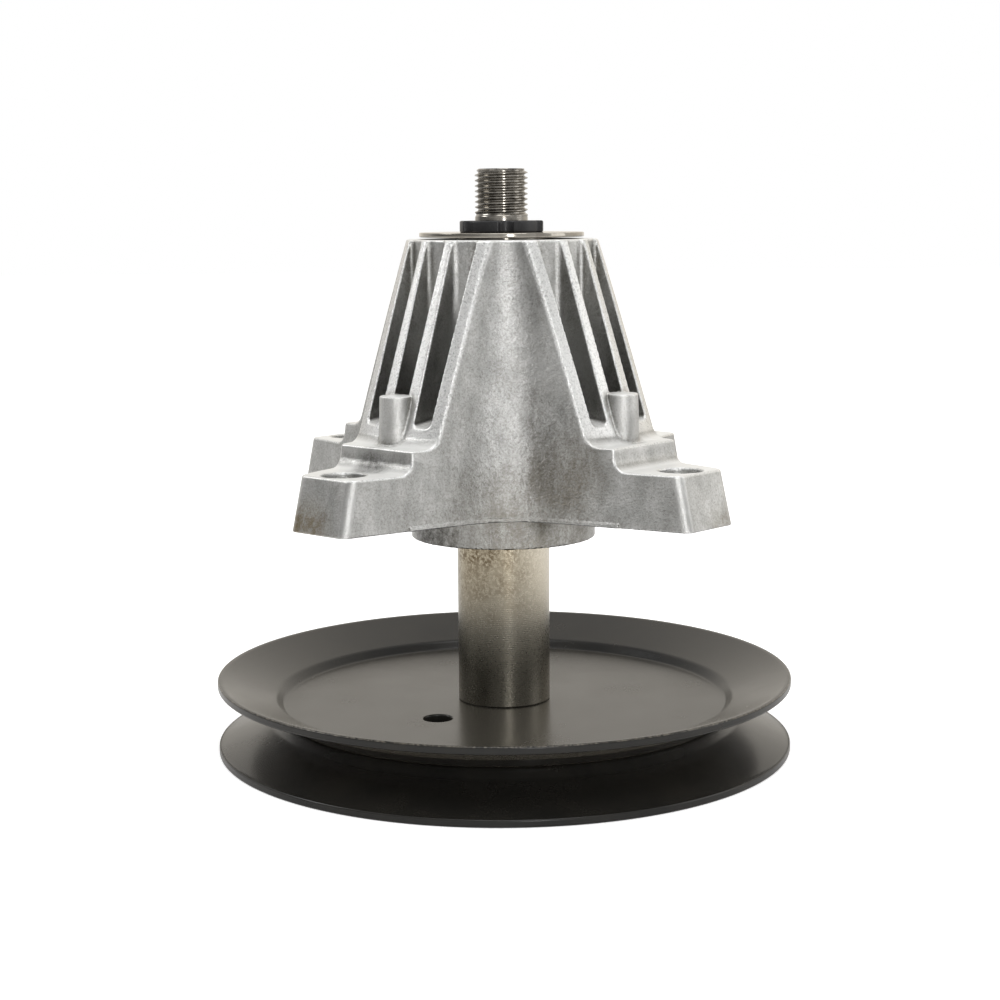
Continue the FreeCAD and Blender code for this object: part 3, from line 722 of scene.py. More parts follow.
@dataclass
class Pulley:
    """The belt pulley: two pressed sheet halves back to back, with one tooling hole in the webs."""

    levels: Levels
    radius: float = 79.375
    height: float = 20.2
    sheet: float = 2.1
    web_radius: float = 61.4
    foot_radius: float = 63.4
    foot_height: float = 2.3
    lip_width: float = 1.2
    bore: float = 7.204
    hole_radius: float = 3.9
    hole_reach: float = 28.8
    hole_angle: float = -131.8
    hole_edge: float = 0.45
    web_round: float = 1.4
    under_web_round: float = 2.2
    foot_round: float = 2.6
    lip_round: float = 2.6
    under_lip_round: float = 2.0
    rim_round: float = 0.5
    bore_round: float = 0.3
    columns: int = 480
    block_rows: int = 12
    block_half_columns: int = 13
    block_half_width: float = 5.6

    def block(self) -> np.ndarray:
        """Radii of the rows of the web's block that holds the hole, evenly spaced."""
        half = self.block_half_width
        return np.linspace(self.hole_reach - half, self.hole_reach + half, self.block_rows + 1)

    def section(self) -> tuple[np.ndarray, int]:
        """Profile of the upper half above the groove level, inner web first, bottom then top.

        Returns:
            Array (n, 2), and the row at which the hole's block starts on the web's top face.
        """
        t, lip_z = self.sheet, self.height / 2
        foot_z, lip_r = t + self.foot_height, self.radius - self.lip_width
        steep = math.atan2(self.foot_height, self.foot_radius - self.web_radius)
        slope = math.atan2(lip_z - foot_z, lip_r - self.foot_radius)
        mitre, shift = (steep + slope) / 2, t / math.cos((steep - slope) / 2)
        block = self.block()
        under = rounded([
            (block[-1], 0.0, 0.0),
            (self.web_radius + t * math.tan(steep / 2), 0.0, self.under_web_round),
            (self.foot_radius + shift * math.sin(mitre), foot_z - shift * math.cos(mitre), self.foot_round),
            (lip_r + t * math.tan(slope / 2), lip_z - t, self.under_lip_round),
            (self.radius, lip_z - t, self.rim_round), (self.radius, lip_z, self.rim_round),
            (lip_r, lip_z, self.lip_round), (self.foot_radius, foot_z, self.foot_round),
            (self.web_radius, t, self.web_round), (block[-1], t, 0.0)], steps=7, closed=False)
        low = np.column_stack([block, np.zeros_like(block)])
        high = np.column_stack([block[::-1], np.full_like(block, t)])
        bore = rounded([(block[0], t, 0.0), (self.bore, t, self.bore_round),
                        (self.bore, 0.0, self.bore_round), (block[0], 0.0, 0.0)], closed=False)
        return np.vstack([low, under[1:-1], high, bore[1:-1]]), len(low) + len(under) - 2

    def half(self, upper: bool) -> list[Patch]:
        """Both patches of one half: the turned sheet with a gap at the hole, and the grid round the hole.

        Args:
            upper: The half above the groove level, otherwise its mirror image.

        Returns:
            The patches, facing outwards.
        """
        section, top_row = self.section()
        sheet = lathe(section, self.columns)
        rows, steps = np.arange(len(section)), np.arange(self.columns)
        in_rows = (rows < self.block_rows) | ((rows >= top_row) & (rows < top_row + self.block_rows))
        half = self.block_half_columns
        in_columns = (steps < half) | (steps >= self.columns - half)
        quads = sheet.quads.reshape(len(section), self.columns, 4)
        sheet.quads = quads[~(in_rows[:, None] & in_columns[None, :])]
        patches = [sheet, self.hole()]
        spin = spin_matrix(math.radians(self.hole_angle))
        flip = 1.0 if upper else -1.0
        for patch in patches:
            patch.points = patch.points @ spin.T * (1.0, 1.0, flip) + (0.0, 0.0, self.levels.groove)
            if not upper:
                patch.quads = patch.quads[:, ::-1]
        return patches

    def hole(self) -> Patch:
        """The grid between the block's border on both faces and the hole's wall, for a hole on +X.

        Its rows run from the border b(u) on the top face to the rounded edge, down the wall and out again:
        P(u, v) = c + d(u) R(v), with d(u) the direction from the hole's centre c to b(u), and on the flat
        faces P mixes b(u) with the rounded edge.

        Returns:
            The surface.
        """
        half, rows = self.block_half_columns, self.block_rows
        span = turns(self.columns)[1] * np.arange(-half, half + 1)
        reach = self.block()
        angle = np.concatenate([
            span[:-1], np.full(rows, span[-1]), span[::-1][:-1], np.full(rows, span[0])])
        radius = np.concatenate([
            np.full(2 * half, reach[0]), reach[:-1], np.full(2 * half, reach[-1]), reach[::-1][:-1]])
        border = np.column_stack([radius * np.cos(angle), radius * np.sin(angle)])
        centre = np.array([self.hole_reach, 0.0])
        way = (border - centre) / np.linalg.norm(border - centre, axis=1, keepdims=True)
        bend = np.linspace(0.0, math.pi / 2, 5)
        edge = self.hole_edge
        ring = self.hole_radius + edge * (1 - np.sin(bend))
        drop = edge * (1 - np.cos(bend))
        share = np.array([0.0, 0.45, 0.85])[:, None, None]
        rim = centre + way * (self.hole_radius + edge)
        face = (1 - share) * border + share * rim
        wall = centre + way[None, :, :] * ring[:, None, None]
        plan = np.concatenate([face, wall, wall[::-1], face[::-1]])
        flat = np.zeros(len(share))
        level = np.concatenate([flat + self.sheet, self.sheet - drop, drop[::-1], flat])
        heights = np.broadcast_to(level[:, None, None], (*plan.shape[:2], 1))
        points = np.concatenate([plan, heights], axis=-1).reshape(-1, 3)
        return Patch(points, grid_quads(len(plan), len(border)).reshape(-1, 4))

    def build(self, finishes: Finishes) -> None:
        """Make both pressings.

        Args:
            finishes: The materials.
        """
        for name, upper in (("upper", True), ("lower", False)):
            piece = make_piece(f"pulley_{name}_pressing", self.half(upper), [finishes.paint])
            fit(piece, Body.ROTOR, f"pulley_{name}_half")


@dataclass
class Shaft:
    """The shaft in one piece: threaded tail, journal, six-lobed star and threaded stud."""

    levels: Levels
    radius: float = 8.45
    thread_radius: float = 7.144
    thread_pitch: float = 1.411
    thread_depth: float = 0.866
    chamfer: float = 0.95
    run_out: float = 2.0
    run_out_start: float = 0.8
    spare_turns: int = 2
    star_radius: float = 11.3
    lobes: int = 6
    notch_radius: float = 2.3
    notch_depth: float = 1.5
    notch_angle: float = -87.0
    star_round: float = 0.45
    lobe_round: float = 0.12
    soft_reach: float = 3.0
    face_hold: float = 0.12
    tail_thread: float = 3.2
    centre_radius: float = 1.9
    centre_depth: float = 1.6
    centre_round: float = 0.2
    sharp_angle: float = 32.0

    def thread(self, low: float, high: float, tip_up: bool) -> Patch:
        """A right-hand thread as rows that climb with the helix.

        Row u turns with z = low + pitch (u + a / 2 pi), and the radius dips from crest to root with the
        share of the turn t = u mod 1 by the 60 degree form. Rows are clipped at both ends, the dip fades
        over the run-out at the plain end, and a cone takes the crest off at the tip.

        Args:
            low: Lower end.
            high: Upper end.
            tip_up: The chamfered tip is the upper end.

        Returns:
            The thread's surface.
        """
        form_t = np.array([0.0, 0.125, 0.18, 0.3825, 0.4375, 0.5625, 0.6875, 0.7425, 0.945])
        form_d = np.array([0.0, 0.0, 0.1, 0.9, 1.0, 1.03, 1.0, 0.9, 0.1])
        angle = np.append(turns(), 2 * math.pi)
        count = math.ceil((high - low) / self.thread_pitch) + self.spare_turns
        u = (np.arange(-self.spare_turns, count)[:, None] + form_t[None, :]).ravel()
        dip = np.tile(form_d, count + self.spare_turns)
        level = low + self.thread_pitch * (u[:, None] + angle[None, :] / (2 * math.pi))
        level = np.clip(level, low, high)
        tip_gap, plain_gap = (high - level, level - low) if tip_up else (level - low, high - level)
        fade = np.clip((plain_gap - self.run_out_start) / self.run_out, 0.0, 1.0)
        radius = self.thread_radius - self.thread_depth * dip[:, None] * fade
        radius = np.minimum(radius, self.thread_radius - self.chamfer + tip_gap)
        quads = grid_quads(len(u), len(angle), False, False).reshape(-1, 4)
        return Patch(round_points(radius, angle, level), quads)

    def star_outline(self, angle: np.ndarray) -> np.ndarray:
        """Radius of the star at each angle.

        The near side of a notch circle at distance c is c cos f - sqrt(n^2 - c^2 sin^2 f), f being the
        angle from the notch. A soft minimum of it and the outer radius rounds the lobes' corners.

        Args:
            angle: The angles, in radians.

        Returns:
            The radii.
        """
        pitch = 2 * math.pi / self.lobes
        away = (angle - math.radians(self.notch_angle) + pitch / 2) % pitch - pitch / 2
        centre = self.star_radius - self.notch_depth + self.notch_radius
        room = np.maximum(self.notch_radius ** 2 - (centre * np.sin(away)) ** 2, 0.0)
        near = np.where(room > 0, centre * np.cos(away) - np.sqrt(room), 2 * self.star_radius)
        gap = np.clip(near - self.star_radius, -self.soft_reach, self.soft_reach)
        return self.star_radius + 0.5 * (gap - np.sqrt(gap ** 2 + self.lobe_round ** 2))

    def star(self) -> Patch:
        """The star: rows in from the journal, round the lower edge, up the side and in to the stud.

        Returns:
            The surface, in the second material slot.
        """
        angle = turns()
        outline = self.star_outline(angle)
        low, high, soft, hold = self.levels.star, self.levels.stud, self.star_round, self.face_hold
        bend = np.linspace(0.0, math.pi / 2, 6)
        inset = np.concatenate([soft * (1 - np.sin(bend)), soft * (1 - np.cos(bend))])
        level = np.concatenate([low + soft * (1 - np.cos(bend)), high - soft * (1 - np.sin(bend))])
        side = outline[None, :] - inset[:, None]
        inner = np.full((1, len(angle)), self.radius)
        stud = np.full((1, len(angle)), self.thread_radius)
        near_low, near_high = hold * inner + (1 - hold) * side[:1], hold * stud + (1 - hold) * side[-1:]
        radius = np.concatenate([inner, near_low, side, near_high, stud])
        level = np.concatenate([[low, low], level, [high, high]])[:, None]
        quads = grid_quads(len(radius), len(angle)).reshape(-1, 4)
        return Patch(round_points(radius, angle, level), quads, 1)

    def build(self, finishes: Finishes) -> None:
        """Make the shaft.

        Args:
            finishes: The materials.
        """
        levels = self.levels
        tip = self.thread_radius - self.chamfer
        tail_high = levels.shaft_low + self.tail_thread
        foot = rounded([
            (0.0, levels.shaft_low + self.centre_depth, 0.0),
            (self.centre_radius, levels.shaft_low, self.centre_round),
            (tip, levels.shaft_low, 0.0)], closed=False)
        head = rounded([
            (tip, levels.stud_high, 0.0),
            (self.centre_radius, levels.stud_high, self.centre_round),
            (0.0, levels.stud_high - self.centre_depth, 0.0)], closed=False)
        journal = np.array([(self.thread_radius, tail_high), (self.thread_radius, levels.shaft_shoulder),
                            (self.radius, levels.shaft_shoulder), (self.radius, levels.star)])
        patches = [
            lathe(foot, closed=False), self.thread(levels.shaft_low, tail_high, False),
            lathe(journal, closed=False), self.star(),
            self.thread(levels.stud, levels.stud_high, True), lathe(head, closed=False),
        ]
        piece = make_piece("threaded_shaft", patches, [finishes.thread, finishes.star], self.sharp_angle)
        fit(piece, Body.ROTOR, "spindle_shaft")


@dataclass
class Clamped:
    """What the shaft clamps together: the bright disc, the spacer tubes and the nut."""

    levels: Levels
    bore: float = 8.5
    disc_radius: float = 22.3
    disc_boss: float = 11.75
    disc_edge: float = 0.3
    boss_edge: float = 0.2
    disc_bore_edge: float = 0.15
    boss_bore_edge: float = 0.1
    tube_radius: float = 12.7
    inner_tube_radius: float = 11.4
    tube_edge: float = 0.35
    nut_flats: float = 22.2
    nut_bore: float = 7.204
    nut_corner: float = 0.15
    nut_face: float = 0.25
    nut_cone: float = 30.0
    nut_countersink: float = 0.5
    sharp_angle: float = 28.0

    def disc(self) -> Patch:
        """The turned disc with its low boss, as a lathe.

        Returns:
            The surface.
        """
        levels = self.levels
        base = levels.blade_bearing + levels.bearing_width
        return lathe(rounded([
            (self.bore, base, self.boss_bore_edge), (self.disc_boss, base, self.boss_edge),
            (self.disc_boss, levels.washer, self.boss_edge),
            (self.disc_radius, levels.washer, self.disc_edge),
            (self.disc_radius, levels.star, self.disc_edge), (self.bore, levels.star, self.disc_bore_edge)]))

    def tube(self, radius: float, low: float, high: float) -> Patch:
        """A tube with broken edges, as a lathe.

        Args:
            radius: Its outer radius.
            low: Its lower end.
            high: Its upper end.

        Returns:
            The surface.
        """
        edge = self.tube_edge
        return lathe(rounded([(self.bore, low, edge), (radius, low, edge), (radius, high, edge),
                              (self.bore, high, edge)]))

    def nut(self) -> Patch:
        """A hexagon nut: r(a, z) is the lesser of the hexagon h / cos(a mod 60 - 30) and a 30 degree cone.

        Returns:
            The surface.
        """
        angle = turns()
        low, high, flat = self.levels.nut_low, self.levels.web_bottom, self.nut_flats / 2
        sixth = math.pi / 3
        hexagon = flat / np.cos(angle % sixth - sixth / 2)
        hexagon = np.minimum(hexagon, 2 * flat / math.sqrt(3) - self.nut_corner)
        rise = np.array([0.0, 0.15, 0.3, 0.5, 0.7, 0.9, 1.2])
        depth = np.concatenate([rise, rise[::-1]])
        cone = flat - self.nut_face + depth[:, None] / math.tan(math.radians(self.nut_cone))
        side = np.minimum(hexagon[None, :], cone)
        bore, sink = np.full((2, len(angle)), self.nut_bore), self.nut_countersink
        radius = np.concatenate([bore[:1] + sink, side, bore[:1] + sink, bore])
        level = np.concatenate([[low], low + rise, high - rise[::-1], [high, high - sink, low + sink]])
        quads = grid_quads(len(radius), len(angle), True).reshape(-1, 4)
        return Patch(round_points(radius, angle, level[:, None]), quads)

    def build(self, finishes: Finishes) -> None:
        """Make the disc, tubes and nut.

        Args:
            finishes: The materials.
        """
        levels = self.levels
        inner_low = levels.pulley_bearing + levels.bearing_width
        pieces = (
            ("turned_disc", self.disc(), finishes.turned, "turned_steel", "blade_washer"),
            ("spacer_tube", self.tube(self.tube_radius, levels.web_top, levels.pulley_bearing),
             finishes.tube, "tube_steel", "drive_spacer"),
            ("inner_spacer_tube", self.tube(self.inner_tube_radius, inner_low, levels.blade_bearing),
             finishes.tube, "tube_steel", "inner_spacer"),
            ("hexagon_nut", self.nut(), finishes.plating, "plated_steel", "pulley_nut"),
        )
        for name, patch, material, slot, node in pieces:
            fit(make_piece(name, [patch], [material], self.sharp_angle), Body.ROTOR, node)


@dataclass
class Bearing:
    """One sealed ball bearing: rings and seals as fine lathes, balls and cage as imported."""

    end: str
    low: float
    width: float = 12.0
    bore: float = 8.5
    outer: float = 20.0
    inner_land: float = 12.0
    outer_land: float = 16.9
    seal_seat: float = 17.6
    seal_gap: float = 0.25
    seal_recess: float = 0.5
    seal_thickness: float = 0.8
    seal_clear: float = 0.05
    bead_groove: float = 0.25
    lip_drop: float = 0.05
    edge: float = 0.6
    land_edge: float = 0.4
    seat_edge: float = 0.15
    step_edge: float = 0.05
    sharp_angle: float = 30.0

    def seal(self, top: bool) -> Patch:
        """A moulded seal: flat ring with a raised outer bead, a groove and a thin lip.

        Args:
            top: The seal at the upper end, otherwise its mirror image at the lower end.

        Returns:
            The surface.
        """
        inner, outer = self.inner_land + self.seal_gap, self.seal_seat - self.seal_clear
        t = self.seal_thickness
        groove, lip = t - self.bead_groove, t - self.lip_drop
        profile = rounded([
            (inner, 0.2, 0.08), (inner + 0.7, 0.0, 0.1), (outer, 0.0, 0.1), (outer, t, 0.2),
            (outer - 0.9, t, 0.25), (outer - 1.3, groove, 0.2), (inner + 1.6, groove, 0.2),
            (inner + 1.2, lip, 0.2), (inner + 0.5, lip, 0.2), (inner, 0.45, 0.08)], steps=3, rim=0.05)
        patch = lathe(profile, RING_COLUMNS)
        if top:
            patch.points[:, 2] += self.low + self.width - self.seal_recess - t
        else:
            patch.points[:, 2] = self.low + self.seal_recess + t - patch.points[:, 2]
            patch.quads = patch.quads[:, ::-1]
        return patch

    def inner_ring(self) -> Patch:
        """The inner ring with rounded corners, as a lathe; its ball groove is behind the seals.

        Returns:
            The surface.
        """
        low, high = self.low, self.low + self.width
        return lathe(rounded([
            (self.bore, low, self.edge), (self.inner_land, low, self.land_edge),
            (self.inner_land, high, self.land_edge), (self.bore, high, self.edge)], rim=0.06), RING_COLUMNS)

    def outer_ring(self) -> Patch:
        """The outer ring with the seals' seats, as a lathe.

        Returns:
            The surface.
        """
        low, high = self.low, self.low + self.width
        seat, step = self.seal_recess + self.seal_thickness, self.step_edge
        return lathe(rounded([
            (self.seal_seat, low, self.seat_edge), (self.outer, low, self.edge),
            (self.outer, high, self.edge), (self.seal_seat, high, self.seat_edge),
            (self.seal_seat, high - seat, step), (self.outer_land, high - seat, step),
            (self.outer_land, low + seat, step), (self.seal_seat, low + seat, step)], rim=0.05), RING_COLUMNS)

    def build(self, finishes: Finishes) -> None:
        """Make the rings and seals and dress the hidden balls and cage.

        Args:
            finishes: The materials.
        """
        end = f"{self.end}_bearing"
        out_up = self.end == "blade"
        steel, rubber = finishes.bearing, finishes.rubber
        pieces = (
            ("outer_race", self.outer_ring(), steel, Body.HOUSING, "bearing_steel", "outer_ring"),
            ("inner_race", self.inner_ring(), steel, Body.ROTOR, "bearing_steel", "inner_ring"),
            ("outer_shield", self.seal(out_up), rubber, Body.HOUSING, "seal_rubber", "outer_seal"),
            ("inner_shield", self.seal(not out_up), rubber, Body.HOUSING, "seal_rubber", "inner_seal"),
        )
        for name, patch, material, body, slot, node in pieces:
            piece = make_piece(f"{end}_{name}", [patch], [material], self.sharp_angle)
            fit(piece, body, f"{end}_{node}")
        for node, material in (("balls", finishes.bearing), ("cage", finishes.cage)):
            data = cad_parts[f"{end}_{node}"].data
            data.materials.clear()
            data.materials.append(material)


def round_meet(first: np.ndarray, second: np.ndarray, radius: float) -> np.ndarray:
    """Where two shapes overlap, with a round edge: min(-r, max(a, b)) + |max((r + a, r + b), 0)|."""
    edge = np.hypot(np.maximum(radius + first, 0.0), np.maximum(radius + second, 0.0))
    return np.minimum(-radius, np.maximum(first, second)) + edge


def round_join(first: np.ndarray, second: np.ndarray, radius: float) -> np.ndarray:
    """Two shapes made one, with a hollow fillet: the round edge of what is outside both."""
    return -round_meet(-first, -second, radius)


def ramp(values: np.ndarray, low: float, high: float) -> np.ndarray:
    """0 at the low value, 1 at the high one, a straight line between them and level beyond."""
    return np.clip((values - low) / (high - low), 0.0, 1.0)


@dataclass
class Casting:
    """The die casting, as a field that is the distance outside (+) or inside (-) its skin.

    Walls, cones and cylinders are joined and cut with round edges and fillets. The field is laid on
    a grid, the grid's skin is netted, and the net is thinned and drawn onto the field's zero.
    """

    levels: Levels
    top: float = 139.44
    ear_top: float = 81.4
    shelf: float = 87.3
    ear_reach: float = 70.4
    ear_half: float = 9.7
    ear_taper: float = 12.6
    end_draft: float = 13.7
    side_draft: float = 4.3
    ear_corner: float = 2.0
    shelf_reach: float = 48.9
    step_draft: float = 6.0
    step_foot: float = 3.0
    step_edge: float = 0.6
    valley_low: float = 21.0
    valley_high: float = 7.0
    cone_top: float = 26.1
    cone_slope: float = 0.345
    cone_foot: float = 2.6
    hub_top: float = 25.2
    hub_slope: float = 0.021
    hub_foot: float = 4.5
    pocket_rise: float = 4.6
    chute: float = 0.14
    rib_pitch: float = 8.75
    rib_tip: float = 2.35
    rib_foot: float = 4.0
    pocket_round: float = 1.4
    boss_reach: float = 41.5
    boss_radius: float = 4.5
    boss_height: float = 12.7
    boss_draft: float = 1.5
    pilot: float = 25.3
    seat: float = 20.05
    throat: float = 17.8
    bolt_reach: float = 60.34
    bolt_radius: float = 5.6
    edge: float = 0.55
    rib_edge: float = 0.45
    top_edge: float = 0.6
    flange_edge: float = 0.25
    boss_edge: float = 0.3
    boss_foot: float = 0.5
    pilot_edge: float = 0.25
    pilot_foot: float = 0.8
    bore_edge: float = 0.35
    bolt_edge: float = 0.45
    lip: float = 0.55
    lip_high: float = 1.1
    lip_reach: float = 51.5
    lip_foot: float = 0.15
    # The net: half of its width, its cell, the triangles kept, and the limits of a step onto the skin
    half_span: float = 57.5
    cell: float = 0.5
    triangles: int = 190000
    least_slope: float = 0.05
    longest_step: float = 0.3
    # The looks: reaches in millimetres, gains, and pairs of values at which a look is 0 and 1
    probe: float = 0.15
    edge_gain: float = 0.6
    nook_reach: float = 2.2
    nook_gain: float = 1.6
    pocket_skin: float = 0.1
    pocket_shade_depth: tuple[float, float] = (3.5, 8.5)
    pocket_shade_rise: tuple[float, float] = (1.2, 3.2)
    face_tilt: tuple[float, float] = (0.6, 0.6 + 1.0 / 3.0)
    front_shine: float = 0.8
    front_skin: float = 0.15
    front_rise: float = 2.0
    pilot_clear: float = 1.0
    flange_clear: float = 0.3
    bolt_shine: float = 0.5
    peel_side: tuple[float, float] = (25.0, 15.0)
    peel_least: float = 0.3
    peel_climb: tuple[float, float] = (128.0, 70.0)

    def block(self, out: np.ndarray, across: np.ndarray, s: np.ndarray, w: np.ndarray,
              rise: np.ndarray) -> np.ndarray:
        """The drafted arms and the hollow panels between them, without their ends.

        A side wall is the plane w = half + (reach - s) tan(taper) - rise tan(draft) / cos(taper). Two
        walls are joined by an arc of radius R(rise), whose centre lies on the panel's middle line. R falls
        from its low to its high value with the square of the rise's share of the height.

        Args:
            out: Distance along the panel's middle line.
            across: Distance from that line.
            s: Distance along the arm.
            w: Distance from the arm's middle plane.
            rise: Height above the ears' seat.

        Returns:
            The field.
        """
        taper = math.radians(self.ear_taper)
        lean = math.tan(math.radians(self.side_draft)) / math.cos(taper)
        scale = math.sqrt(1 + math.tan(taper) ** 2 + lean ** 2)
        wall = (w - self.ear_half - (self.ear_reach - s) * math.tan(taper) + rise * lean) / scale
        bend = math.radians(45.0 - self.ear_taper)
        share = rise / (self.top - self.levels.flange)
        radius = self.valley_low + (self.valley_high - self.valley_low) * share ** 2
        flare = 2 * (self.valley_high - self.valley_low) * share / (self.top - self.levels.flange)
        end = rise * math.tan(math.radians(self.end_draft))
        reach, half = self.ear_reach - end, self.ear_half + end * math.tan(taper) - rise * lean
        corner = (reach + half - (reach - half) * math.tan(bend)) / DIAGONAL
        centre = corner + radius / math.cos(bend)
        hollow = (radius - np.hypot(centre - out, across)) / np.hypot(1.0, flare)
        return np.where(across < (centre - out) * math.tan(bend), hollow, wall)

    def field(self, points: np.ndarray) -> np.ndarray:
        """The casting's field, in the casting's own four-fold symmetry.

        Args:
            points: Array (..., 3) in millimetres.

        Returns:
            The values, without the last axis.
        """
        x, y, z = np.abs(points[..., 0]), np.abs(points[..., 1]), points[..., 2]
        rho = np.hypot(x, y)
        s, w = (x + y) / DIAGONAL, np.abs(x - y) / DIAGONAL
        rise = z - self.levels.flange
        block = self.block(np.maximum(x, y), np.minimum(x, y), s, w, rise)
        end_draft, step_draft = math.radians(self.end_draft), math.radians(self.step_draft)
        end = (s - self.ear_reach + rise * math.tan(end_draft)) * math.cos(end_draft)
        body = round_meet(block, end, self.ear_corner)
        cone = (rho - self.cone_top - self.cone_slope * (self.top - z)) / math.hypot(1.0, self.cone_slope)
        step = (s - self.shelf_reach - (self.shelf - z) * math.tan(step_draft)) * math.cos(step_draft)
        step = round_join(z - self.ear_top, round_meet(z - self.shelf, step, self.step_edge), self.step_foot)
        body = round_meet(body, round_join(cone, step, self.cone_foot), self.edge)
        lip = np.maximum(np.maximum(block - self.lip, s - self.lip_reach), rise - self.lip_high)
        body = round_join(body, lip, self.lip_foot)
        body = round_meet(round_meet(body, -rise, self.flange_edge), z - self.top, self.top_edge)
        body = round_meet(body, -self.pockets(rho, w, z), self.rib_edge)
        away = np.hypot(s - self.boss_reach, w)
        boss = away - self.boss_radius + (z - self.shelf) * math.tan(math.radians(self.boss_draft))
        boss = round_meet(boss, z - self.shelf - self.boss_height, self.boss_edge)
        body = round_join(body, np.maximum(boss, self.ear_top - z), self.boss_foot)
        pilot = round_meet(rho - self.pilot, self.levels.pilot_low - z, self.pilot_edge)
        body = round_join(body, np.maximum(pilot, z - self.ear_top), self.pilot_foot)
        low, high = self.levels.pulley_bearing + self.levels.bearing_width, self.levels.blade_bearing
        bore = np.minimum(rho - self.throat, np.maximum(rho - self.seat, np.minimum(z - low, high - z)))
        body = round_meet(body, -bore, self.bore_edge)
        return round_meet(body, self.bolt_radius - np.hypot(s - self.bolt_reach, w), self.bolt_edge)

    def pocket_floor(self, rho: np.ndarray) -> np.ndarray:
        """Height of the pockets' floors, which rise from the rib cone inwards to the hub."""
        mouth = self.cone_top + self.cone_slope * (self.top - self.shelf)
        return self.shelf + self.pocket_rise + self.chute * np.maximum(mouth - rho, 0.0)

    def pockets(self, rho: np.ndarray, w: np.ndarray, z: np.ndarray) -> np.ndarray:
        """The three pockets of an arm, which leave its four ribs standing on the hub.

        A pocket is |w - c| < (pitch - thickness(z)) / 2 above its floor and outside the hub.

        Args:
            rho: Distance from the axis.
            w: Distance from the arm's middle plane.
            z: Height.

        Returns:
            The field of what is cut away.
        """
        grow = (self.rib_foot - self.rib_tip) / (self.top - self.shelf)
        thickness = self.rib_foot - grow * (z - self.shelf)
        side = np.minimum(w, np.abs(w - self.rib_pitch)) - (self.rib_pitch - thickness) / 2
        hub = self.hub_top + self.hub_slope * (self.top - z) - rho
        floor = round_meet(hub, (self.pocket_floor(rho) - z) / math.hypot(1.0, self.chute), self.hub_foot)
        return round_meet(side, floor, self.pocket_round)

    def looks(self, points: np.ndarray, normals: np.ndarray) -> dict[str, np.ndarray]:
        """How far each point of the skin is an edge, a hollow corner, in the painted pocket shade, facing up
        or coarse.

        The field's Laplacian is 0 on a flat and one over the radius on a round edge; at height d above a
        flat the field is d and it is less in a corner. The painted pocket shade grows with the depth under
        the rib cone.

        Args:
            points: Points of the skin.
            normals: Their outward normals.

        Returns:
            Values from 0 to 1 by attribute name.
        """
        step, above = self.probe, self.nook_reach
        shifts = np.vstack([np.eye(3), -np.eye(3)]) * step
        bend = (sum(self.field(points + shift) for shift in shifts) - 6.0 * self.field(points)) / step ** 2
        nook = 1.0 - self.field(points + above * normals) / above
        x, y, z = np.abs(points[:, 0]), np.abs(points[:, 1]), points[:, 2]
        rho, s, w = np.hypot(x, y), (x + y) / DIAGONAL, np.abs(x - y) / DIAGONAL
        deep = self.cone_top + self.cone_slope * (self.top - z) - rho
        in_pocket = np.abs(self.pockets(rho, w, z)) < self.pocket_skin
        # Painted shade in the pockets, growing with the depth under the rib cone and with the height above
        # the pocket floor.
        pocket_shade = ramp(deep, *self.pocket_shade_depth) * ramp(z - self.pocket_floor(rho), *self.pocket_shade_rise) * in_pocket
        on_cone = (np.abs(deep) < self.front_skin) & (z > self.shelf + self.front_rise)
        plain = (rho > self.pilot + self.pilot_clear) | (z > self.levels.flange + self.flange_clear)
        drilled = np.hypot(s - self.bolt_reach, w) < self.bolt_radius + self.bolt_shine
        # Brighter colour: on convex edges partly wear and partly a painted highlight, on the rib fronts a
        # painted highlight, round the bolt holes the bright metal of the drilled holes.
        shine = self.edge_gain * bend + self.front_shine * on_cone + drilled
        climb = ramp(z, *self.peel_climb)
        beside = np.maximum(ramp(np.minimum(x, y), *self.peel_side), self.peel_least)
        return {
            "coarse": beside * (0.5 + 0.5 * climb ** 2 * (3.0 - 2.0 * climb)),
            "edge": plain * np.clip(shine, 0.0, 1.0),
            "nook": plain * ~drilled * np.clip(self.nook_gain * nook, 0.0, 1.0),
            "pocket_shade": pocket_shade,
            "face": ramp(normals[:, 2], *self.face_tilt),
        }

    def net(self) -> tuple[np.ndarray, np.ndarray]:
        """Net the skin: one point in each grid cell that it crosses, one quad round each crossed edge.

        Returns:
            Points (n, 3) in millimetres and quads (m, 4) that face outwards.
        """
        half = np.arange(0.5, self.half_span / self.cell) * self.cell
        low = self.levels.pilot_low - 2 * self.cell
        level = np.arange(low, self.top + 2 * self.cell, self.cell)
        places = np.stack(np.meshgrid(half, half, level, indexing="ij"), axis=-1)
        quarter = self.field(places).astype(np.float32)
        value = np.concatenate([quarter[::-1], quarter])
        value = np.concatenate([value[:, ::-1], value], axis=1)
        start = np.array([-half[-1], -half[-1], low])
        inside = value < 0
        corners = [(i, j, k) for i in (0, 1) for j in (0, 1) for k in (0, 1)]
        n = np.array(value.shape) - 1
        count = sum(inside[i:n[0] + i, j:n[1] + j, k:n[2] + k].astype(np.int8) for i, j, k in corners)
        cells = np.argwhere((count > 0) & (count < 8))
        at = np.stack([value[tuple((cells + c).T)] for c in corners], axis=1)
        total, hits = np.zeros((len(cells), 3)), np.zeros((len(cells), 1))
        for first, a in enumerate(corners):
            for second, b in enumerate(corners):
                if second > first and sum(abs(p - q) for p, q in zip(a, b)) == 1:
                    va, vb = at[:, first, None], at[:, second, None]
                    cross = (va < 0) != (vb < 0)
                    share = np.where(cross, va / np.where(cross, va - vb, 1.0), 0.0)
                    total += cross * (np.array(a) + share * (np.array(b) - np.array(a)))
                    hits += cross
        points = start + (cells + total / hits) * self.cell
        index = np.full(n, -1, dtype=np.int32)
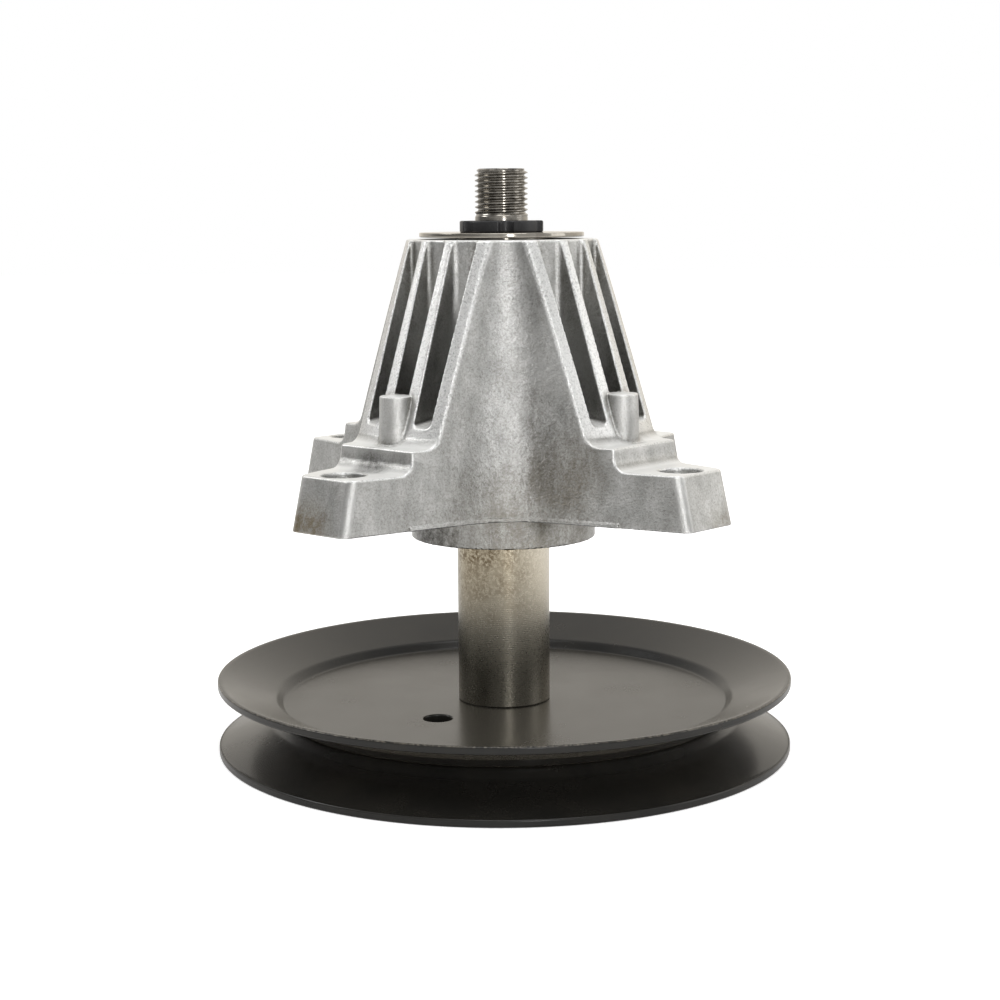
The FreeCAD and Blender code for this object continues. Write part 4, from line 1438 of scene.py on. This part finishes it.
        index[tuple(cells.T)] = np.arange(len(cells), dtype=np.int32)
        quads = []
        for axis in range(3):
            side, over = np.eye(3, dtype=int)[[(axis + 1) % 3, (axis + 2) % 3]]
            near = np.moveaxis(inside, axis, 0)
            changed = np.moveaxis(near[1:] != near[:-1], 0, axis)
            edges = np.argwhere(changed)
            for way in (side, over):
                edges = edges[(edges @ way > 0) & (edges @ way < n @ way)]
            ring = np.stack([index[tuple((edges - side - over).T)], index[tuple((edges - over).T)],
                             index[tuple(edges.T)], index[tuple((edges - side).T)]], axis=1)
            outward = inside[tuple(edges.T)]
            quads.append(np.where(outward[:, None], ring, ring[:, ::-1]))
        return points, np.vstack(quads)

    def gradient(self, points: np.ndarray, step: float = 0.02) -> np.ndarray:
        """Slope of the field at points, by central differences."""
        shifts = np.eye(3) * step
        slopes = [(self.field(points + d) - self.field(points - d)) / (2 * step) for d in shifts]
        return np.stack(slopes, axis=-1)

    def settle(self, points: np.ndarray, rounds: int) -> np.ndarray:
        """Draw points onto the skin by Newton steps p - f g / g.g.

        Args:
            points: Points near the skin.
            rounds: Number of steps.

        Returns:
            The points on the skin.
        """
        most = self.longest_step
        for _ in range(rounds):
            slope = self.gradient(points)
            size = np.maximum((slope ** 2).sum(axis=-1), self.least_slope)
            points = points - (np.clip(self.field(points), -most, most) / size)[:, None] * slope
        return points

    def build(self, finishes: Finishes) -> None:
        """Make the casting, thin its net and give it the field's own normals.

        Args:
            finishes: The materials.
        """
        points, quads = self.net()
        points = self.settle(points, rounds=2)
        rough = bpy.data.meshes.new("casting_net")
        rough.from_pydata((points * MM).tolist(), [], quads.tolist())
        piece = bpy.data.objects.new("ribbed_casting", rough)
        bpy.context.scene.collection.objects.link(piece)
        thin = piece.modifiers.new("thin", "DECIMATE")
        thin.ratio = min(1.0, self.triangles / (2 * len(quads)))
        mesh = bpy.data.meshes.new_from_object(piece.evaluated_get(bpy.context.evaluated_depsgraph_get()))
        piece.modifiers.clear()
        piece.data = mesh
        bpy.data.meshes.remove(rough)
        mesh.name = "ribbed_casting"
        flat = np.empty(3 * len(mesh.vertices), dtype=np.float32)
        mesh.vertices.foreach_get("co", flat)
        points = self.settle(flat.reshape(-1, 3).astype(float) / MM, rounds=3)
        mesh.vertices.foreach_set("co", (points * MM).ravel().astype(np.float32))
        mesh.shade_smooth()
        slope = self.gradient(points)
        normals = slope / np.linalg.norm(slope, axis=1, keepdims=True)
        mesh.normals_split_custom_set_from_vertices(normals)
        for name, values in self.looks(points, normals).items():
            layer = mesh.attributes.new(name, "FLOAT", "POINT")
            layer.data.foreach_set("value", values.astype(np.float32))
        mesh.materials.clear()
        mesh.materials.append(finishes.casting)
        mesh.update()
        fit(piece, Body.HOUSING, "spindle_housing")


@dataclass(frozen=True)
class Lamp:
    """A soft rectangular lamp: its place and size in metres and its power in watts."""

    name: str
    place: tuple[float, float, float]
    width: float
    height: float
    watts: float

    def build(self, target: tuple[float, float, float]) -> None:
        """Add the lamp to the scene.

        Args:
            target: The place that it faces.
        """
        data = bpy.data.lights.new(self.name, "AREA")
        data.shape = "RECTANGLE"
        data.size, data.size_y, data.energy = self.width, self.height, self.watts
        lamp = bpy.data.objects.new(self.name, data)
        lamp.location = self.place
        lamp.rotation_mode = "QUATERNION"
        lamp.rotation_quaternion = (Vector(target) - Vector(self.place)).to_track_quat("-Z", "Y")
        bpy.context.scene.collection.objects.link(lamp)


@dataclass
class Studio:
    """Pale floor, soft lamps, a plain surround and the camera of the photograph."""

    focal_pixels: float = 1932.08
    frame_pixels: float = 1000.0
    sensor_width: float = 36.0
    camera_place: tuple[float, float, float] = (-0.88, -527.28, 147.64)
    camera_tilt: float = 8.591
    camera_roll: float = -0.37
    part_turn: float = 3.32
    target: tuple[float, float, float] = (0.0, 0.0, 0.08)
    lamps: tuple[Lamp, ...] = (
        Lamp("key_lamp", (1.0, -0.15, 0.45), 0.5, 0.8, 1.5),
        Lamp("top_lamp", (0.05, -0.25, 1.0), 0.6, 0.6, 3.0),
        Lamp("front_lamp", (0.2, -1.3, 0.3), 0.16, 0.6, 3.0),
        Lamp("left_lamp", (-0.9, 0.05, 0.75), 0.4, 0.3, 2.2))
    # Directions of the dark and the white side of the surround, and the cosines at which each begins and ends
    dark_side: tuple[float, float, float] = (-0.88, -0.28, -0.38)
    dark_span: tuple[float, float] = (0.5, 0.85)
    white_side: tuple[float, float, float] = (0.3, 0.95, 0.0)
    white_span: tuple[float, float] = (0.1, 0.85)
    backdrop: str = "#fff0d4"
    pale: float = 0.6
    dark: float = 0.18
    paper: str = "#f4f4f4"
    floor_half: float = 4000.0
    floor_level: float = -0.05
    floor_glow: float = 0.5
    floor_mirror: float = 0.1

    def camera(self) -> None:
        """Place the camera. The part was turned a little where it stood, so the camera turns round it."""
        tilt, roll, turn = (math.radians(a) for a in (self.camera_tilt, self.camera_roll, -self.part_turn))
        right, ahead = np.array([1.0, 0.0, 0.0]), np.array([0.0, math.cos(tilt), -math.sin(tilt)])
        above = np.cross(right, ahead)
        axes = np.column_stack([math.cos(roll) * right + math.sin(roll) * above,
                                math.cos(roll) * above - math.sin(roll) * right, -ahead])
        spin = spin_matrix(turn)
        matrix = np.eye(4)
        matrix[:3, :3] = spin @ axes
        matrix[:3, 3] = spin @ np.array(self.camera_place) * MM
        data = bpy.data.cameras.new("photo_camera")
        data.sensor_width = self.sensor_width
        data.lens = self.sensor_width * self.focal_pixels / self.frame_pixels
        data.clip_start, data.clip_end = 0.01, 50.0
        camera = bpy.data.objects.new("photo_camera", data)
        camera.matrix_world = Matrix(matrix.tolist())
        bpy.context.scene.collection.objects.link(camera)
        bpy.context.scene.camera = camera

    def surround(self) -> None:
        """A white surround that is darker on one side, which shades the metal.

        The camera sees it all white. Reflections see the same white only behind the part.
        """
        world = bpy.data.worlds.new("white_surround")
        bpy.context.scene.world = world
        world.use_nodes = True
        tree = world.node_tree
        tree.nodes.clear()
        seen = add_node(tree, "LightPath", out="Is Camera Ray")
        way = add_node(tree, "TexCoord", out="Generated")
        side = add_node(tree, "VectorMath", {0: way, 1: self.dark_side}, "Value", operation="DOT_PRODUCT")
        back = add_node(tree, "VectorMath", {0: way, 1: self.white_side}, "Value", operation="DOT_PRODUCT")
        lift = add_node(tree, "MapRange", {
            "Value": back, "From Min": self.white_span[0], "From Max": self.white_span[1],
            "To Max": 1.0 - self.pale}, interpolation_type="SMOOTHSTEP")
        drop = add_node(tree, "MapRange", {
            "Value": side, "From Min": self.dark_span[0], "From Max": self.dark_span[1],
            "To Min": self.pale, "To Max": self.dark}, interpolation_type="SMOOTHSTEP")
        level = add_node(tree, "Math", {0: lift, 1: drop}, operation="ADD")
        warm = add_node(tree, "Mix", {
            SHARE: lift, UNDER: "#ffffff", OVER: self.backdrop}, MIXED, data_type="RGBA")
        soft = add_node(tree, "Background", {"Color": warm, "Strength": level})
        white = add_node(tree, "Background", {"Color": "#ffffff", "Strength": 1.0})
        add_node(tree, "OutputWorld", {"Surface": add_node(tree, "MixShader", {0: seen, 1: soft, 2: white})})

    def floor(self) -> None:
        """A wide pale floor that keeps the part's shadow and glows a little, as the white surround does."""
        corners = np.array([(-1.0, -1.0), (1.0, -1.0), (1.0, 1.0), (-1.0, 1.0)]) * self.floor_half
        points = np.column_stack([corners, np.full(4, self.floor_level)])
        material = bpy.data.materials.new("white_paper")
        material.use_nodes = True
        tree = material.node_tree
        tree.nodes.clear()
        seen = add_node(tree, "LightPath", out="Is Camera Ray")
        mirrored = add_node(tree, "LightPath", out="Is Glossy Ray")
        shown = add_node(tree, "Math", {0: mirrored, 1: self.floor_mirror, 2: seen}, operation="MULTIPLY_ADD")
        glow = add_node(tree, "Math", {0: shown, 1: self.floor_glow}, operation="MULTIPLY")
        paper = add_node(tree, "BsdfDiffuse", {"Color": self.paper})
        light = add_node(tree, "Emission", {"Color": "#ffffff", "Strength": glow})
        add_node(tree, "OutputMaterial", {"Surface": add_node(tree, "AddShader", {0: paper, 1: light})})
        floor = make_piece("floor", [Patch(points, np.array([[0, 1, 2, 3]]))], [material])

    def build(self) -> None:
        """Set up the floor, the lamps, the surround and the camera."""
        bpy.context.scene.view_settings.view_transform = "Standard"
        self.floor()
        self.surround()
        for lamp in self.lamps:
            lamp.build(self.target)
        self.camera()


def main() -> None:
    """Build the finishes, the sub-assemblies in order and the studio."""
    logging.basicConfig(level=logging.INFO, format="%(name)s %(message)s")
    levels = Levels()
    finishes = Finishes.make()
    Casting(levels).build(finishes)
    Shaft(levels).build(finishes)
    Clamped(levels).build(finishes)
    Pulley(levels).build(finishes)
    Bearing("blade", levels.blade_bearing).build(finishes)
    Bearing("pulley", levels.pulley_bearing).build(finishes)
    Studio().build()


if __name__ == "__main__":
    main()
